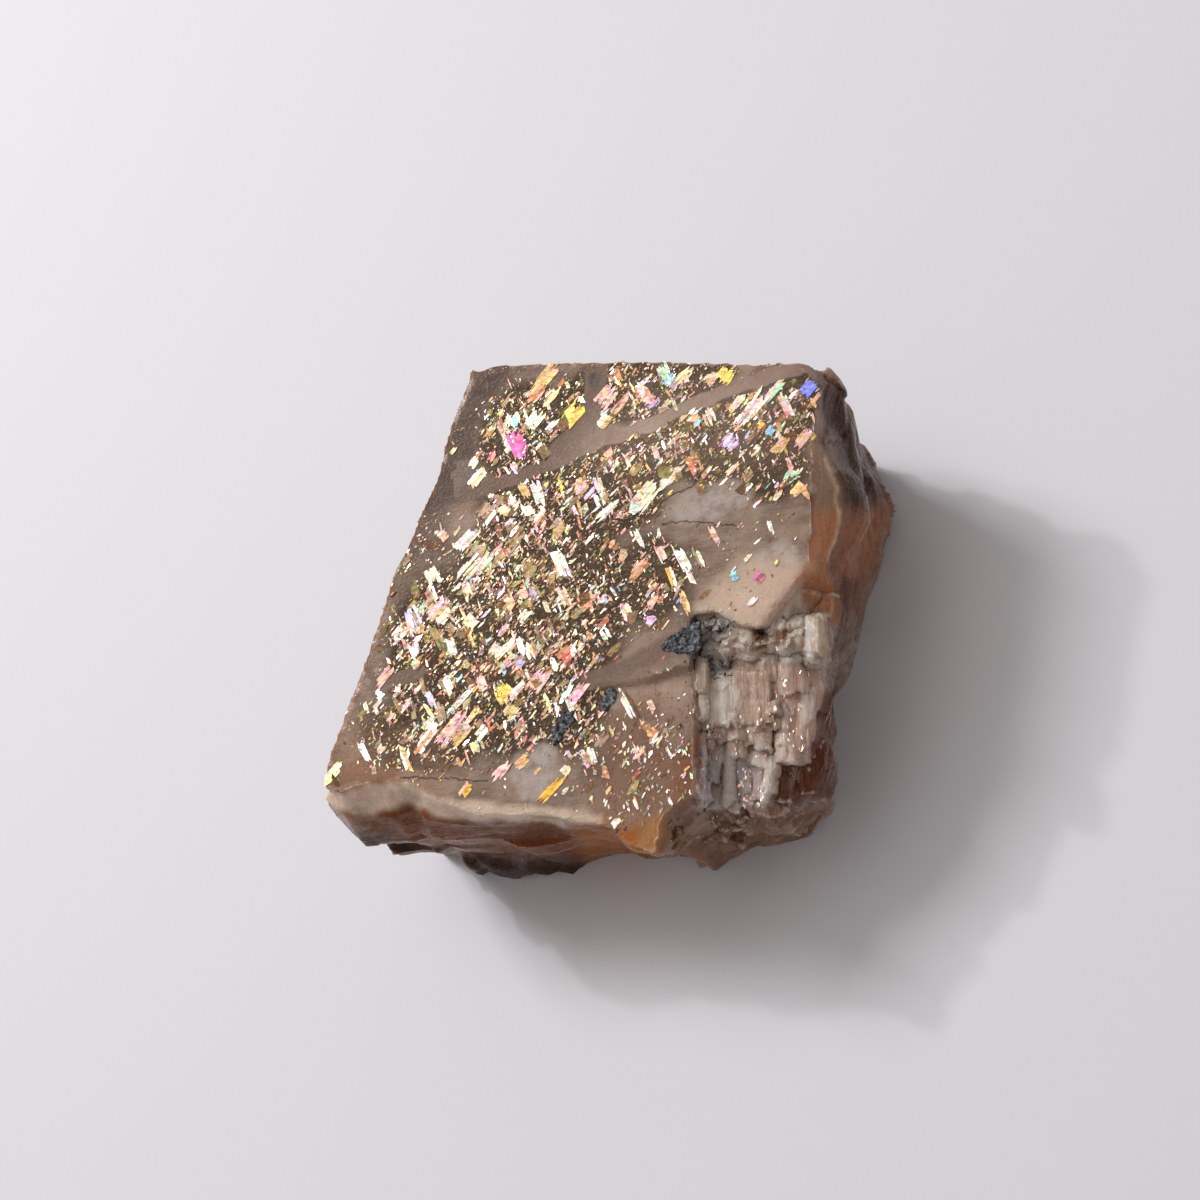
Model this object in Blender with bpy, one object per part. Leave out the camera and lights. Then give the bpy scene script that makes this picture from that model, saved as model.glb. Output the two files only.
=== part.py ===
"""Rainbow lattice sunstone: one cleaved lump of layered feldspar, lying on its broad back.

The stone is worked out lying level, with its smooth cleavage face up at depth 0, "across" along X
and "up" along Y. The layers under the face are parallel to it, and their broken edges make the
stepped sides. One corner is broken away in ledges. At the end the stone is tipped into the lie
that it rests in, and its back is cut flat where it meets the floor.
"""

import math
from collections import namedtuple

import bmesh
import bpy
from mathutils import Matrix, Vector, noise

# Driving dimensions, in millimetres and degrees.
MM = 0.001
THICKNESS = 14.3  # middle of the cleavage face to the resting face
FACE_TILT = 9.0  # between the cleavage face and the resting face
TILT_AXIS = (1.0, 1.0, 0.0)  # so the face leans down towards the broken corner
FACE_MIDDLE = (0.339, -0.666)  # of the level stone, from the middle of the resting stone's box
LEVELS = (0.0, 1.2, 2.8, 4.5, 8.0, 14.0)  # depths of the face, lip, band, ledge, waist and foot
OUTLINE_STEP = 0.95  # between points round the outline
LAYER_THICKNESS = (1.25, 2.1, 0.9, 3.3, 1.5, 2.7, 3.9, 3.2)  # from the face down to the deepest
RING_STEP = 0.85  # between outlines inside a layer
LAYER_DROP = 0.15  # height of the small slope where one layer steps to the next
LEDGE_RELIEF = 1.3  # how far a layer's edge stands out from its neighbours' where it does
LEDGE_SPAN = 7.0  # length of such a ledge
LEDGE_SHARE = 0.22  # below this much the layers break flush and leave no ledge
FACET_SIZE = 4.2  # across one fracture facet of the sides
FACET_HEIGHT = 0.55  # how much one facet stands out from the next
FACET_SLOPE = 1.5  # rise of the steepest facets across their width
SPLINTER_RELIEF = 0.3  # upright splinters, the same through every layer
SPLINTER_WIDTH = 1.7
FACE_EDGE_RELIEF = 0.2  # share of the relief at the face's own edge
CUTTER_TOP = 2.5  # above the face

# Where the noise is read for each kind of unevenness, so that no two of them run alike.
HEIGHT_SPREAD = 3.7
SLOPE_SPREAD = 5.3
SLOPE_SHIFTS = (0.0, 20.0, 40.0)
LAYER_SHIFT = 2.7
SPLINTER_SHIFT = 40.0
WALL_SHIFT = 9.0

# Round the face, anticlockwise from its far left corner: across, up, and how far the side stands
# out from there at the lip, band, ledge, waist and foot.
OUTLINE = (
    (-6.3, 14.4, 0.1, 0.2, 0.3, -0.2, -2.4),
    (-7.6, 10.8, 0.1, 0.4, 0.7, 0.9, -0.6),
    (-8.3, 7.8, 0.0, 0.2, 0.4, 1.0, 0.9),
    (-10.3, 3.6, 0.1, 0.4, 0.9, 1.5, 1.2),
    (-11.7, -0.4, 0.2, 0.5, 0.7, 0.9, 0.3),
    (-13.6, -5.2, 0.0, 0.1, 0.3, 0.4, -0.3),
    (-14.9, -8.7, 0.1, 0.2, 0.3, 0.0, -0.6),
    # The near left tip and the chip along it.
    (-15.0, -9.9, 0.5, 0.6, 0.7, 0.2, -0.2),
    (-13.8, -10.4, 1.1, 1.3, 1.7, 1.4, 1.6),
    (-11.2, -9.7, 1.7, 2.0, 2.8, 2.4, 3.2),
    (-9.4, -10.2, 0.7, 1.6, 2.6, 2.2, 3.2),
    (-7.6, -11.2, 0.8, 1.1, 1.8, 1.2, 2.4),
    # The near edge, hollow under its lip.
    (-5.6, -12.0, 0.3, 0.2, 1.0, 0.4, 1.7),
    (-2.0, -12.3, 0.1, 0.0, 0.7, 0.2, 1.0),
    (1.8, -13.1, 0.1, -0.2, 0.4, -0.3, 0.2),
    (3.0, -14.3, 0.0, -0.3, -0.1, -0.9, -0.8),
    (4.8, -14.9, 0.0, -0.3, -0.4, -1.2, -1.4),
    (5.3, -13.2, 0.1, 0.4, 0.6, 0.3, 0.0),
    (7.0, -12.2, 0.1, 0.3, 0.6, 0.4, 0.2),
    (10.4, -12.4, 0.0, 0.1, 0.2, 0.3, 0.3),
    (12.6, -11.2, 0.0, 0.1, 0.2, -0.3, -0.8),
    # The right side, bulging below the lip.
    (13.5, -8.6, 0.1, 0.4, 0.2, -0.5, -1.5),
    (13.6, -5.2, 0.1, 0.3, 0.1, -0.6, -1.5),
    (14.0, -2.6, 0.2, 0.5, 0.4, -0.5, -1.3),
    (13.9, 0.6, 0.6, 1.1, 1.2, 0.5, -0.2),
    (14.0, 2.6, 0.8, 1.5, 1.6, 1.0, 0.4),
    (14.0, 5.1, 1.1, 1.9, 2.0, 1.7, 1.0),
    (14.2, 7.0, 0.6, 1.4, 2.0, 1.8, 1.2),
    (14.6, 9.6, 0.2, 0.7, 1.2, 0.7, 0.4),
    (15.1, 11.3, 0.1, 0.2, 0.2, -0.4, -0.9),
    # The far right corner and the far edge.
    (14.6, 12.0, 0.1, 0.0, 0.0, -0.3, -0.8),
    (10.0, 12.6, 0.1, 0.4, 0.5, 0.9, 0.2),
    (5.5, 13.3, 0.0, 0.2, 0.6, 1.1, 0.8),
    (1.8, 13.7, 0.1, 0.3, 0.8, 1.3, 1.1),
    (-2.5, 14.2, 0.0, 0.2, 0.3, 0.5, -0.4),
)

# A piece broken away: the depth of the floor it left at the first point of its plan, how much
# deeper the floor gets per millimetre across and up, the size of its bumps across and up, their
# height, and its plan.
Break = namedtuple("Break", "name depth falls grain relief plan")
BREAKS = (
    Break(
        "thin_slab", -0.06, (0.075, 0.0), (2.5, 6.0), 0.03,
        ((-0.8, -6.6), (1.7, -5.3), (4.6, -5.2), (6.2, -4.7), (7.5, -4.6), (7.5, -18.0),
         (-0.8, -18.0)),
    ),
    Break(
        "granular_shelf", 1.7, (0.02, -0.05), (1.3, 1.3), 0.2,
        ((6.9, -1.8), (8.3, -1.7), (9.6, -2.6), (10.7, -2.9), (11.9, -2.5), (12.4, -1.9), (19.0, -0.9),
         (19.0, -5.2), (6.8, -4.8)),
    ),
    Break(
        "fibrous_block", 1.15, (0.05, -0.04), (1.2, 5.0), 0.14,
        ((7.0, -4.0), (11.4, -4.4), (11.5, -8.5), (7.0, -8.2)),
    ),
    Break(
        "shard", 1.6, (0.3, -0.08), (1.3, 6.0), 0.22,
        ((10.9, -4.6), (19.0, -4.9), (19.0, -18.0), (10.9, -18.0)),
    ),
    Break(
        "dark_recess", 2.9, (-0.06, 0.05), (1.0, 1.0), 0.3,
        ((6.9, -7.8), (8.8, -7.6), (11.2, -7.9), (11.2, -10.2), (6.9, -10.2)),
    ),
    Break(
        "splinter_floor", 2.9, (0.0, -0.22), (1.3, 7.0), 0.4,
        ((6.9, -9.5), (11.2, -9.5), (11.2, -18.0), (4.9, -18.0), (5.1, -13.0), (5.9, -12.1),
         (7.2, -11.5)),
    ),
    Break(
        "shard_side", 2.8, (1.25, -0.25), (1.5, 3.0), 0.25,
        ((11.0, -9.8), (12.3, -9.4), (13.4, -6.8), (13.7, -4.8), (19.0, -4.8), (19.0, -18.0),
         (11.0, -18.0)),
    ),
)
BREAK_CUTS = 2  # cuts across each floor for its bumps
WALL_STEP = 1.2  # between the points of a broken wall
WALL_RELIEF = 0.35  # how far a broken wall wanders

# A sliver struck off along an edge of the face, anticlockwise: where it starts and ends on the
# face, how wide its slope is and how deep that slope's outer side is.
Sliver = namedtuple("Sliver", "name start end width depth")
SLIVERS = (
    Sliver("lens_facet_end", (10.0, -3.8), (15.7, 2.7), 0.75, 1.3),
    Sliver("far_corner_nick", (15.5, 9.4), (12.5, 13.1), 0.6, 0.9),
)
SLIVER_MARGIN = 0.4  # share of the slope that its cutter runs on above the face and past its foot
SLIVER_CLEARANCE = 3.0  # how far the cutter then runs on, clear of the stone

# The clear rounded knob left standing at the end of the granular shelf.
KNOB_CENTRE = (13.4, -3.4, -1.9)
KNOB_RADII = (0.85, 1.4, 1.15)
KNOB_RELIEF = 0.12  # share of the radius that its bumps stand out
KNOB_BUMPS = 2.0  # bumps to a radius

COLOUR = (0.30, 0.23, 0.18, 1.0)
ROUGHNESS = 0.35


def clear_scene():
    for obj in list(bpy.data.objects):
        bpy.data.objects.remove(obj, do_unlink=True)


def new_object(name, bm):
    """Turns the bmesh, worked out in millimetres lying level, into an object in its resting lie."""
    bmesh.ops.transform(bm, matrix=resting_lie(), verts=bm.verts)
    bmesh.ops.recalc_face_normals(bm, faces=bm.faces)
    mesh = bpy.data.meshes.new(name)
    bm.to_mesh(mesh)
    bm.free()
    obj = bpy.data.objects.new(name, mesh)
    bpy.context.scene.collection.objects.link(obj)
    return obj


def resting_lie():
    """Tips the level stone, lifts it so that its back is on the floor, and turns it into metres."""
    tip = Matrix.Rotation(math.radians(FACE_TILT), 4, Vector(TILT_AXIS).normalized())
    lift = Matrix.Translation((*FACE_MIDDLE, THICKNESS))
    return Matrix.Scale(MM, 4) @ lift @ tip


def level_at(levels, depth):
    """How far the side stands out at this depth, between the levels given for the place."""
    reaches = (0.0, *levels)
    for upper, lower, near, far in zip(LEVELS, LEVELS[1:], reaches, reaches[1:]):
        if depth <= lower:
            return near + (far - near) * (depth - upper) / (lower - upper)
    return reaches[-1]


def outline_samples():
    """Evenly spaced points round the face, each with its outward direction and its side levels."""
    places = []
    for here, there in zip(OUTLINE, OUTLINE[1:] + OUTLINE[:1]):
        length = math.dist(here[:2], there[:2])
        pieces = max(1, round(length / OUTLINE_STEP))
        for piece in range(pieces):
            share = piece / pieces
            places.append([a + (b - a) * share for a, b in zip(here, there)])
    samples = []
    for index, place in enumerate(places):
        before = places[index - 1]
        after = places[(index + 1) % len(places)]
        outward = Vector((after[1] - before[1], before[0] - after[0])).normalized()
        samples.append((Vector(place[:2]), outward, place[2:]))
    return samples


def facet_slope(centre):
    """The steepest rise of the fracture plane round this centre, fixed by where the centre is."""
    places = [centre * SLOPE_SPREAD + Vector((shift, 0.0, 0.0)) for shift in SLOPE_SHIFTS]
    return Vector([noise.noise(place) for place in places])


def facet_relief(place):
    """Height of the lowest of the tilted fracture planes that meet near here."""
    heights = []
    cell_place = place / FACET_SIZE
    for centre in noise.voronoi(cell_place)[1]:
        rise = facet_slope(centre).dot(cell_place - centre)
        heights.append(FACET_HEIGHT * noise.noise(centre * HEIGHT_SPREAD) + FACET_SLOPE * rise)
    return min(heights)


def ledge_relief(flat, layer):
    """How far this layer's edge stands out here, nothing where it breaks flush with the others."""
    wander = noise.noise(Vector((*(flat / LEDGE_SPAN), layer * LAYER_SHIFT)))
    return LEDGE_RELIEF * math.copysign(max(0.0, abs(wander) - LEDGE_SHARE), wander)


def splinter_relief(flat):
    """How far an upright splinter stands out here, the same through every layer."""
    return SPLINTER_RELIEF * noise.noise(Vector((*(flat / SPLINTER_WIDTH), SPLINTER_SHIFT)))


def ring(samples, depth, layer):
    """The stone's outline at one depth."""
    share = min(1.0, FACE_EDGE_RELIEF + depth / LEVELS[2])
    points = []
    for flat, outward, levels in samples:
        relief = facet_relief(Vector((*flat, -depth))) + ledge_relief(flat, layer)
        relief += splinter_relief(flat)
        edge = flat + outward * (level_at(levels, depth) + share * relief)
        points.append(Vector((*edge, -depth)))
    return points


def layer_rings(samples):
    """The outlines from the face down, several to each layer."""
    rings = []
    top = 0.0
    for layer, thickness in enumerate(LAYER_THICKNESS):
        start = top + LAYER_DROP if layer else top
        foot = top + thickness
        steps = max(1, round(thickness / RING_STEP))
        for step in range(steps + 1):
            rings.append(ring(samples, start + (foot - start) * step / steps, layer))
        top = foot
    return rings


def extrude_through(bm, rings):
    """Draws a face through a row of outlines that all have the same number of points."""
    face = bm.faces.new([bm.verts.new(point) for point in rings[0]])
    for outline in rings[1:]:
        region = [face] + face.edges[:] + face.verts[:]
        made = bmesh.ops.extrude_face_region(bm, geom=region)["geom"]
        face = next(part for part in made if isinstance(part, bmesh.types.BMFace))
        for vert, point in zip(face.verts, outline):
            vert.co = point
    return face


def make_stone():
    bm = bmesh.new()
    extrude_through(bm, layer_rings(outline_samples()))
    bmesh.ops.triangulate(bm, faces=bm.faces)
    return new_object("sunstone", bm)


def broken_wall(piece):
    """The plan of a break with its long straight walls made to wander."""
    points = []
    for here, there in zip(piece.plan, piece.plan[1:] + piece.plan[:1]):
        pieces = max(1, round(math.dist(here, there) / WALL_STEP))
        for step in range(pieces):
            place = Vector(here).lerp(Vector(there), step / pieces)
            shifts = (piece.depth, WALL_SHIFT)
            wander = Vector([noise.noise(Vector((*place, shift))) for shift in shifts])
            points.append(place + WALL_RELIEF * wander if step else place)
    return points


def make_break(piece):
    """A closed block whose underside is the bumpy floor that the missing piece left."""
    bm = bmesh.new()
    plan = broken_wall(piece)
    highest = [Vector((*place, CUTTER_TOP)) for place in plan]
    lowest = [Vector((*place, -piece.depth)) for place in plan]
    floor = extrude_through(bm, [highest, lowest])
    start = Vector(piece.plan[0])
    fan = bmesh.ops.poke(bm, faces=[floor])["faces"]
    edges = [edge for edge in bm.edges if any(face in fan for face in edge.link_faces)]
    bmesh.ops.subdivide_edges(bm, edges=edges, cuts=BREAK_CUTS, use_grid_fill=True)
    for vert in bm.verts:
        if vert.co.z < CUTTER_TOP:
            fall = Vector(piece.falls).dot(vert.co.xy - start)
            across, up = vert.co.x / piece.grain[0], vert.co.y / piece.grain[1]
            bump = noise.noise(Vector((across, up, piece.depth)))
            vert.co.z += piece.relief * bump - fall
    bmesh.ops.triangulate(bm, faces=bm.faces)
    return new_object("cut_" + piece.name, bm)


def make_sliver(piece):
    """A closed wedge whose underside is the slope that the missing sliver left."""
    start, end = Vector(piece.start), Vector(piece.end)
    along = (end - start).normalized()
    outward = Vector((along.y, -along.x))
    foot_depth = piece.depth * (1.0 + SLIVER_MARGIN)
    sections = []
    for place in (start, end):
        high = place - outward * piece.width * SLIVER_MARGIN
        low = place + outward * piece.width * (1.0 + SLIVER_MARGIN)
        clear = low + outward * SLIVER_CLEARANCE
        slope_top = (*high, piece.depth * SLIVER_MARGIN)
        slope_foot = (*low, -foot_depth)
        sections.append([slope_top, slope_foot, (*clear, -foot_depth), (*clear, CUTTER_TOP)])
    bm = bmesh.new()
    extrude_through(bm, sections)
    return new_object("cut_" + piece.name, bm)


def make_knob():
    bm = bmesh.new()
    bmesh.ops.create_icosphere(bm, subdivisions=3, radius=1.0)
    for vert in bm.verts:
        vert.co *= 1.0 + KNOB_RELIEF * noise.noise(vert.co * KNOB_BUMPS)
    bmesh.ops.scale(bm, vec=KNOB_RADII, verts=bm.verts)
    bmesh.ops.translate(bm, vec=KNOB_CENTRE, verts=bm.verts)
    return new_object("add_knob", bm)


def combine(stone, helper, operation):
    helper.hide_render = True
    helper.display_type = "WIRE"
    boolean = stone.modifiers.new(helper.name, "BOOLEAN")
    boolean.operation = operation
    boolean.solver = "EXACT"
    boolean.object = helper


def cut_back_flat(stone):
    """Cuts the stone off where it meets the floor, and closes the resting face."""
    bm = bmesh.new()
    bm.from_mesh(stone.data)
    whole = bm.verts[:] + bm.edges[:] + bm.faces[:]
    floor, down = (0, 0, 0), (0, 0, -1)
    cut = bmesh.ops.bisect_plane(bm, geom=whole, plane_co=floor, plane_no=down, clear_outer=True)
    rim = [part for part in cut["geom_cut"] if isinstance(part, bmesh.types.BMEdge)]
    bmesh.ops.contextual_create(bm, geom=rim)
    bmesh.ops.recalc_face_normals(bm, faces=bm.faces)
    bm.to_mesh(stone.data)
    bm.free()


def feldspar():
    material = bpy.data.materials.new("feldspar")
    material.use_nodes = True
    shader = material.node_tree.nodes["Principled BSDF"]
    shader.inputs["Base Color"].default_value = COLOUR
    shader.inputs["Roughness"].default_value = ROUGHNESS
    shader.inputs["Metallic"].default_value = 0.0
    return material


def main():
    clear_scene()
    stone = make_stone()
    cut_back_flat(stone)
    for piece in SLIVERS:
        combine(stone, make_sliver(piece), "DIFFERENCE")
    for piece in BREAKS:
        combine(stone, make_break(piece), "DIFFERENCE")
    combine(stone, make_knob(), "UNION")
    stone.data.materials.append(feldspar())


main()
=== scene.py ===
"""Rainbow lattice sunstone: the looks of one cleaved lump of feldspar, round its solid model.

Everything is worked out with the stone lying level, in millimetres: "across" along X and "up"
along Y on its smooth cleavage face at height 0, with the layers parallel to it below. At the end
each piece is tipped into the lie that the stone rests in, in metres.
"""

import math
import random

import bmesh
import bpy
from bpy.props import FloatProperty, FloatVectorProperty, IntProperty, PointerProperty
from mathutils import Matrix, Vector, noise
from mathutils.bvhtree import BVHTree


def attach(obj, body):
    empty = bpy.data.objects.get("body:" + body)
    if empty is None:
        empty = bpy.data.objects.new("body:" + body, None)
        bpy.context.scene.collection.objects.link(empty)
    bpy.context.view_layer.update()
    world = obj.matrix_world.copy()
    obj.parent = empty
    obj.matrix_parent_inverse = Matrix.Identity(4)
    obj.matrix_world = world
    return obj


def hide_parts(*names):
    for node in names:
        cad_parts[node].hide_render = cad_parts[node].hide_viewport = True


bl_info = {
    "name": "Rainbow lattice sunstone",
    "version": (1, 0, 0),
    "blender": (4, 5, 0),
    "location": "View3D > Sidebar > Sunstone",
    "description": "Dresses the solid sunstone with its broken surface, lattice flakes and grains",
    "category": "Add Mesh",
}

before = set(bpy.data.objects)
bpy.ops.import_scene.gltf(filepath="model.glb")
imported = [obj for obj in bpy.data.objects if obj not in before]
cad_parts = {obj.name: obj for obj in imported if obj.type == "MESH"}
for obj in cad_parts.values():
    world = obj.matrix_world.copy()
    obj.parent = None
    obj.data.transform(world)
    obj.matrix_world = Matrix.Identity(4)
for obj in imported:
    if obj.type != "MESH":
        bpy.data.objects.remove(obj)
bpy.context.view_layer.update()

# The lie that the stone rests in, as its solid has it.
MM = 0.001
THICKNESS = 14.3
FACE_TILT = 9.0
TILT_AXIS = (1.0, 1.0, 0.0)
FACE_MIDDLE = (0.339, -0.666)

# Where the stage's camera stands: how far it leans off the face's normal, in degrees towards the
# right and towards the near side, and where the middle of its picture falls, in millimetres.
LEAN_RIGHT = 19.0
LEAN_NEAR = 16.0
PICTURE_MIDDLE = (1.667, -0.278)
SIGHT_DISTANCE = 125.0

MAIN_TURN = 46.0  # degrees from "across" to the flakes' main direction
CROSS_TURN = -68.0  # and to the other one
MAIN_SHARE = 0.7  # of the scattered flakes, which lie along the main direction
TRIES = 12  # for a place to lay each scattered flake in
STREWN = ((-15.5, 16.5), (-15.5, 15.0))  # across and up, over which flakes are strewn
LANDING_HEIGHT = 3.0  # above the face, from which a flake's place on the stone is looked for
SHORT_FLAKE = 0.4  # a flake no longer than this may hang over the edge of the face
LUMP_SUNK = 0.15  # the share of a lump's size that it is sunk by
MERGE = 1e-6  # metres, between points of the solid that are one
CRISP_ANGLE = 27.0  # degrees, from which an edge of the broken stone stays crisp
FLOOR_REACH = 1.2  # half the side of the floor, in metres

# The near slab of the face has broken lower. It reaches from left to right, and up to here.
SLAB_LEFT, SLAB_RIGHT, SLAB_TOP = -0.8, 7.5, -4.5
# How deep the face may lie where it shows flakes: on that slab, and elsewhere.
SLAB_DEPTH, FACE_DEPTH = -0.9, -0.12
# The slope down to the slab looks like the face too: its reach across and up.
SLOPE = ((1.0, 6.9), (-6.6, -3.0))

# Flake colours by name, as the light that they throw back.
TINTS = {
    "white": (0.98, 0.93, 0.87), "cream": (0.94, 0.82, 0.68), "gold": (0.8, 0.56, 0.28),
    "lemon": (0.92, 0.87, 0.52), "yellow": (1, 0.8, 0.22), "orange": (1, 0.52, 0.14),
    "tan": (0.42, 0.3, 0.21), "olive": (0.3, 0.23, 0.12), "bronze": (0.22, 0.13, 0.075),
    "copper": (0.66, 0.34, 0.21), "salmon": (0.88, 0.5, 0.41), "coral": (0.8, 0.3, 0.22),
    "rose": (0.92, 0.6, 0.58), "lilac": (0.74, 0.62, 0.9), "mint": (0.62, 0.9, 0.7),
    "aqua": (0.36, 0.78, 0.94), "blue": (0.26, 0.32, 0.98), "magenta": (0.96, 0.2, 0.58),
}

# How often each colour comes up among the scattered flakes, from fine specks to large plates.
SPECK_MIX = {
    "white": 2.5, "cream": 5, "gold": 5, "tan": 8, "olive": 7, "bronze": 8, "salmon": 2,
    "copper": 2,
}
SCALE_MIX = {"white": 4, "cream": 3, "rose": 3, "lilac": 0.7, "salmon": 1}
LATH_MIX = {
    "white": 4.5, "cream": 7, "gold": 2.5, "lemon": 0.7, "tan": 6, "bronze": 4, "copper": 3.5,
    "salmon": 4.5, "rose": 3.5, "coral": 1, "lilac": 1, "mint": 0.7, "aqua": 0.3, "orange": 0.5,
}
GHOST_MIX = {"tan": 2, "bronze": 6, "olive": 4, "copper": 1.5}

# Where flakes crowd on the face: middle across and up, reach across and up, and how thickly.
CROWDS = (
    (-1.8, -0.1, 6, 7.6, 1), (-7.2, -2.8, 5, 6, 0.8), (0.4, 5.8, 6.8, 3.4, 0.8),
    (8.8, 8.4, 5.4, 3.4, 0.85), (6.6, 8.2, 4.6, 2.8, 0.75), (3, 7.2, 4, 2.4, 0.9),
    (4.4, 11.8, 6.4, 2.3, 0.85), (12.2, 9.6, 3, 3.2, 0.7), (-2.6, 9.8, 3.6, 3.8, 0.85),
    (-8.4, -7, 5.6, 3.4, 0.45), (-2.3, -6, 6, 3.8, 0.6), (11.8, 6, 2.6, 2.6, 0.5),
    (4.4, 0.4, 3.4, 3.4, 0.45), (3.6, -9.2, 4.6, 4.4, 0.22), (9.8, 0.6, 4.4, 3.6, 0.07),
    (-9.5, 3, 3, 5, 0.2),
)
# Bands that the flakes leave free: half their width, and the line that they follow.
LANES = (
    (0.4, ((-9, 6.5), (-6.1, 6.8), (-3.7, 7.1), (-1.8, 7.7), (0, 8.2), (2.4, 9), (4.5, 9.4),
     (7.1, 10.3), (9.4, 10.9), (11.8, 11.4), (13.3, 11.7))),
    (0.65, ((1.6, 13.1), (1.3, 11.4), (0.9, 9.9), (-0.6, 8.8))),
    (0.4, ((-12.9, -3.1), (-11.8, -3.9), (-10.3, -3.9), (-9, -3.6))),
    (0.5, ((1.2, -5), (3.2, -4.6), (5.2, -3.6), (7.2, -2.6))),
)
# Milky patches: the middle, the reach and the turn of each.
MILKY = (
    (8, 4.5, 2.6, 1.1, 12), (-2, -9.9, 1.4, 1.7, -30), (3.6, -6, 1.3, 0.5, 15),
    (11.6, 0.2, 2, 1.5, 40), (11, -1.8, 1.8, 0.7, 25), (-11.6, -9.8, 2.6, 0.6, 5),
)
# Hairline cracks in the face.
CRACKS = (
    ((-10, -9.6), (-7.7, -9.8), (-4.7, -10.2)),
    ((4.7, 4.3), (5.5, 4.9), (6.2, 5.3), (7.1, 5.5), (7.5, 6), (8, 6.3)),
    ((5.4, 3.6), (7, 3.5), (9.6, 3)),
)

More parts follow.
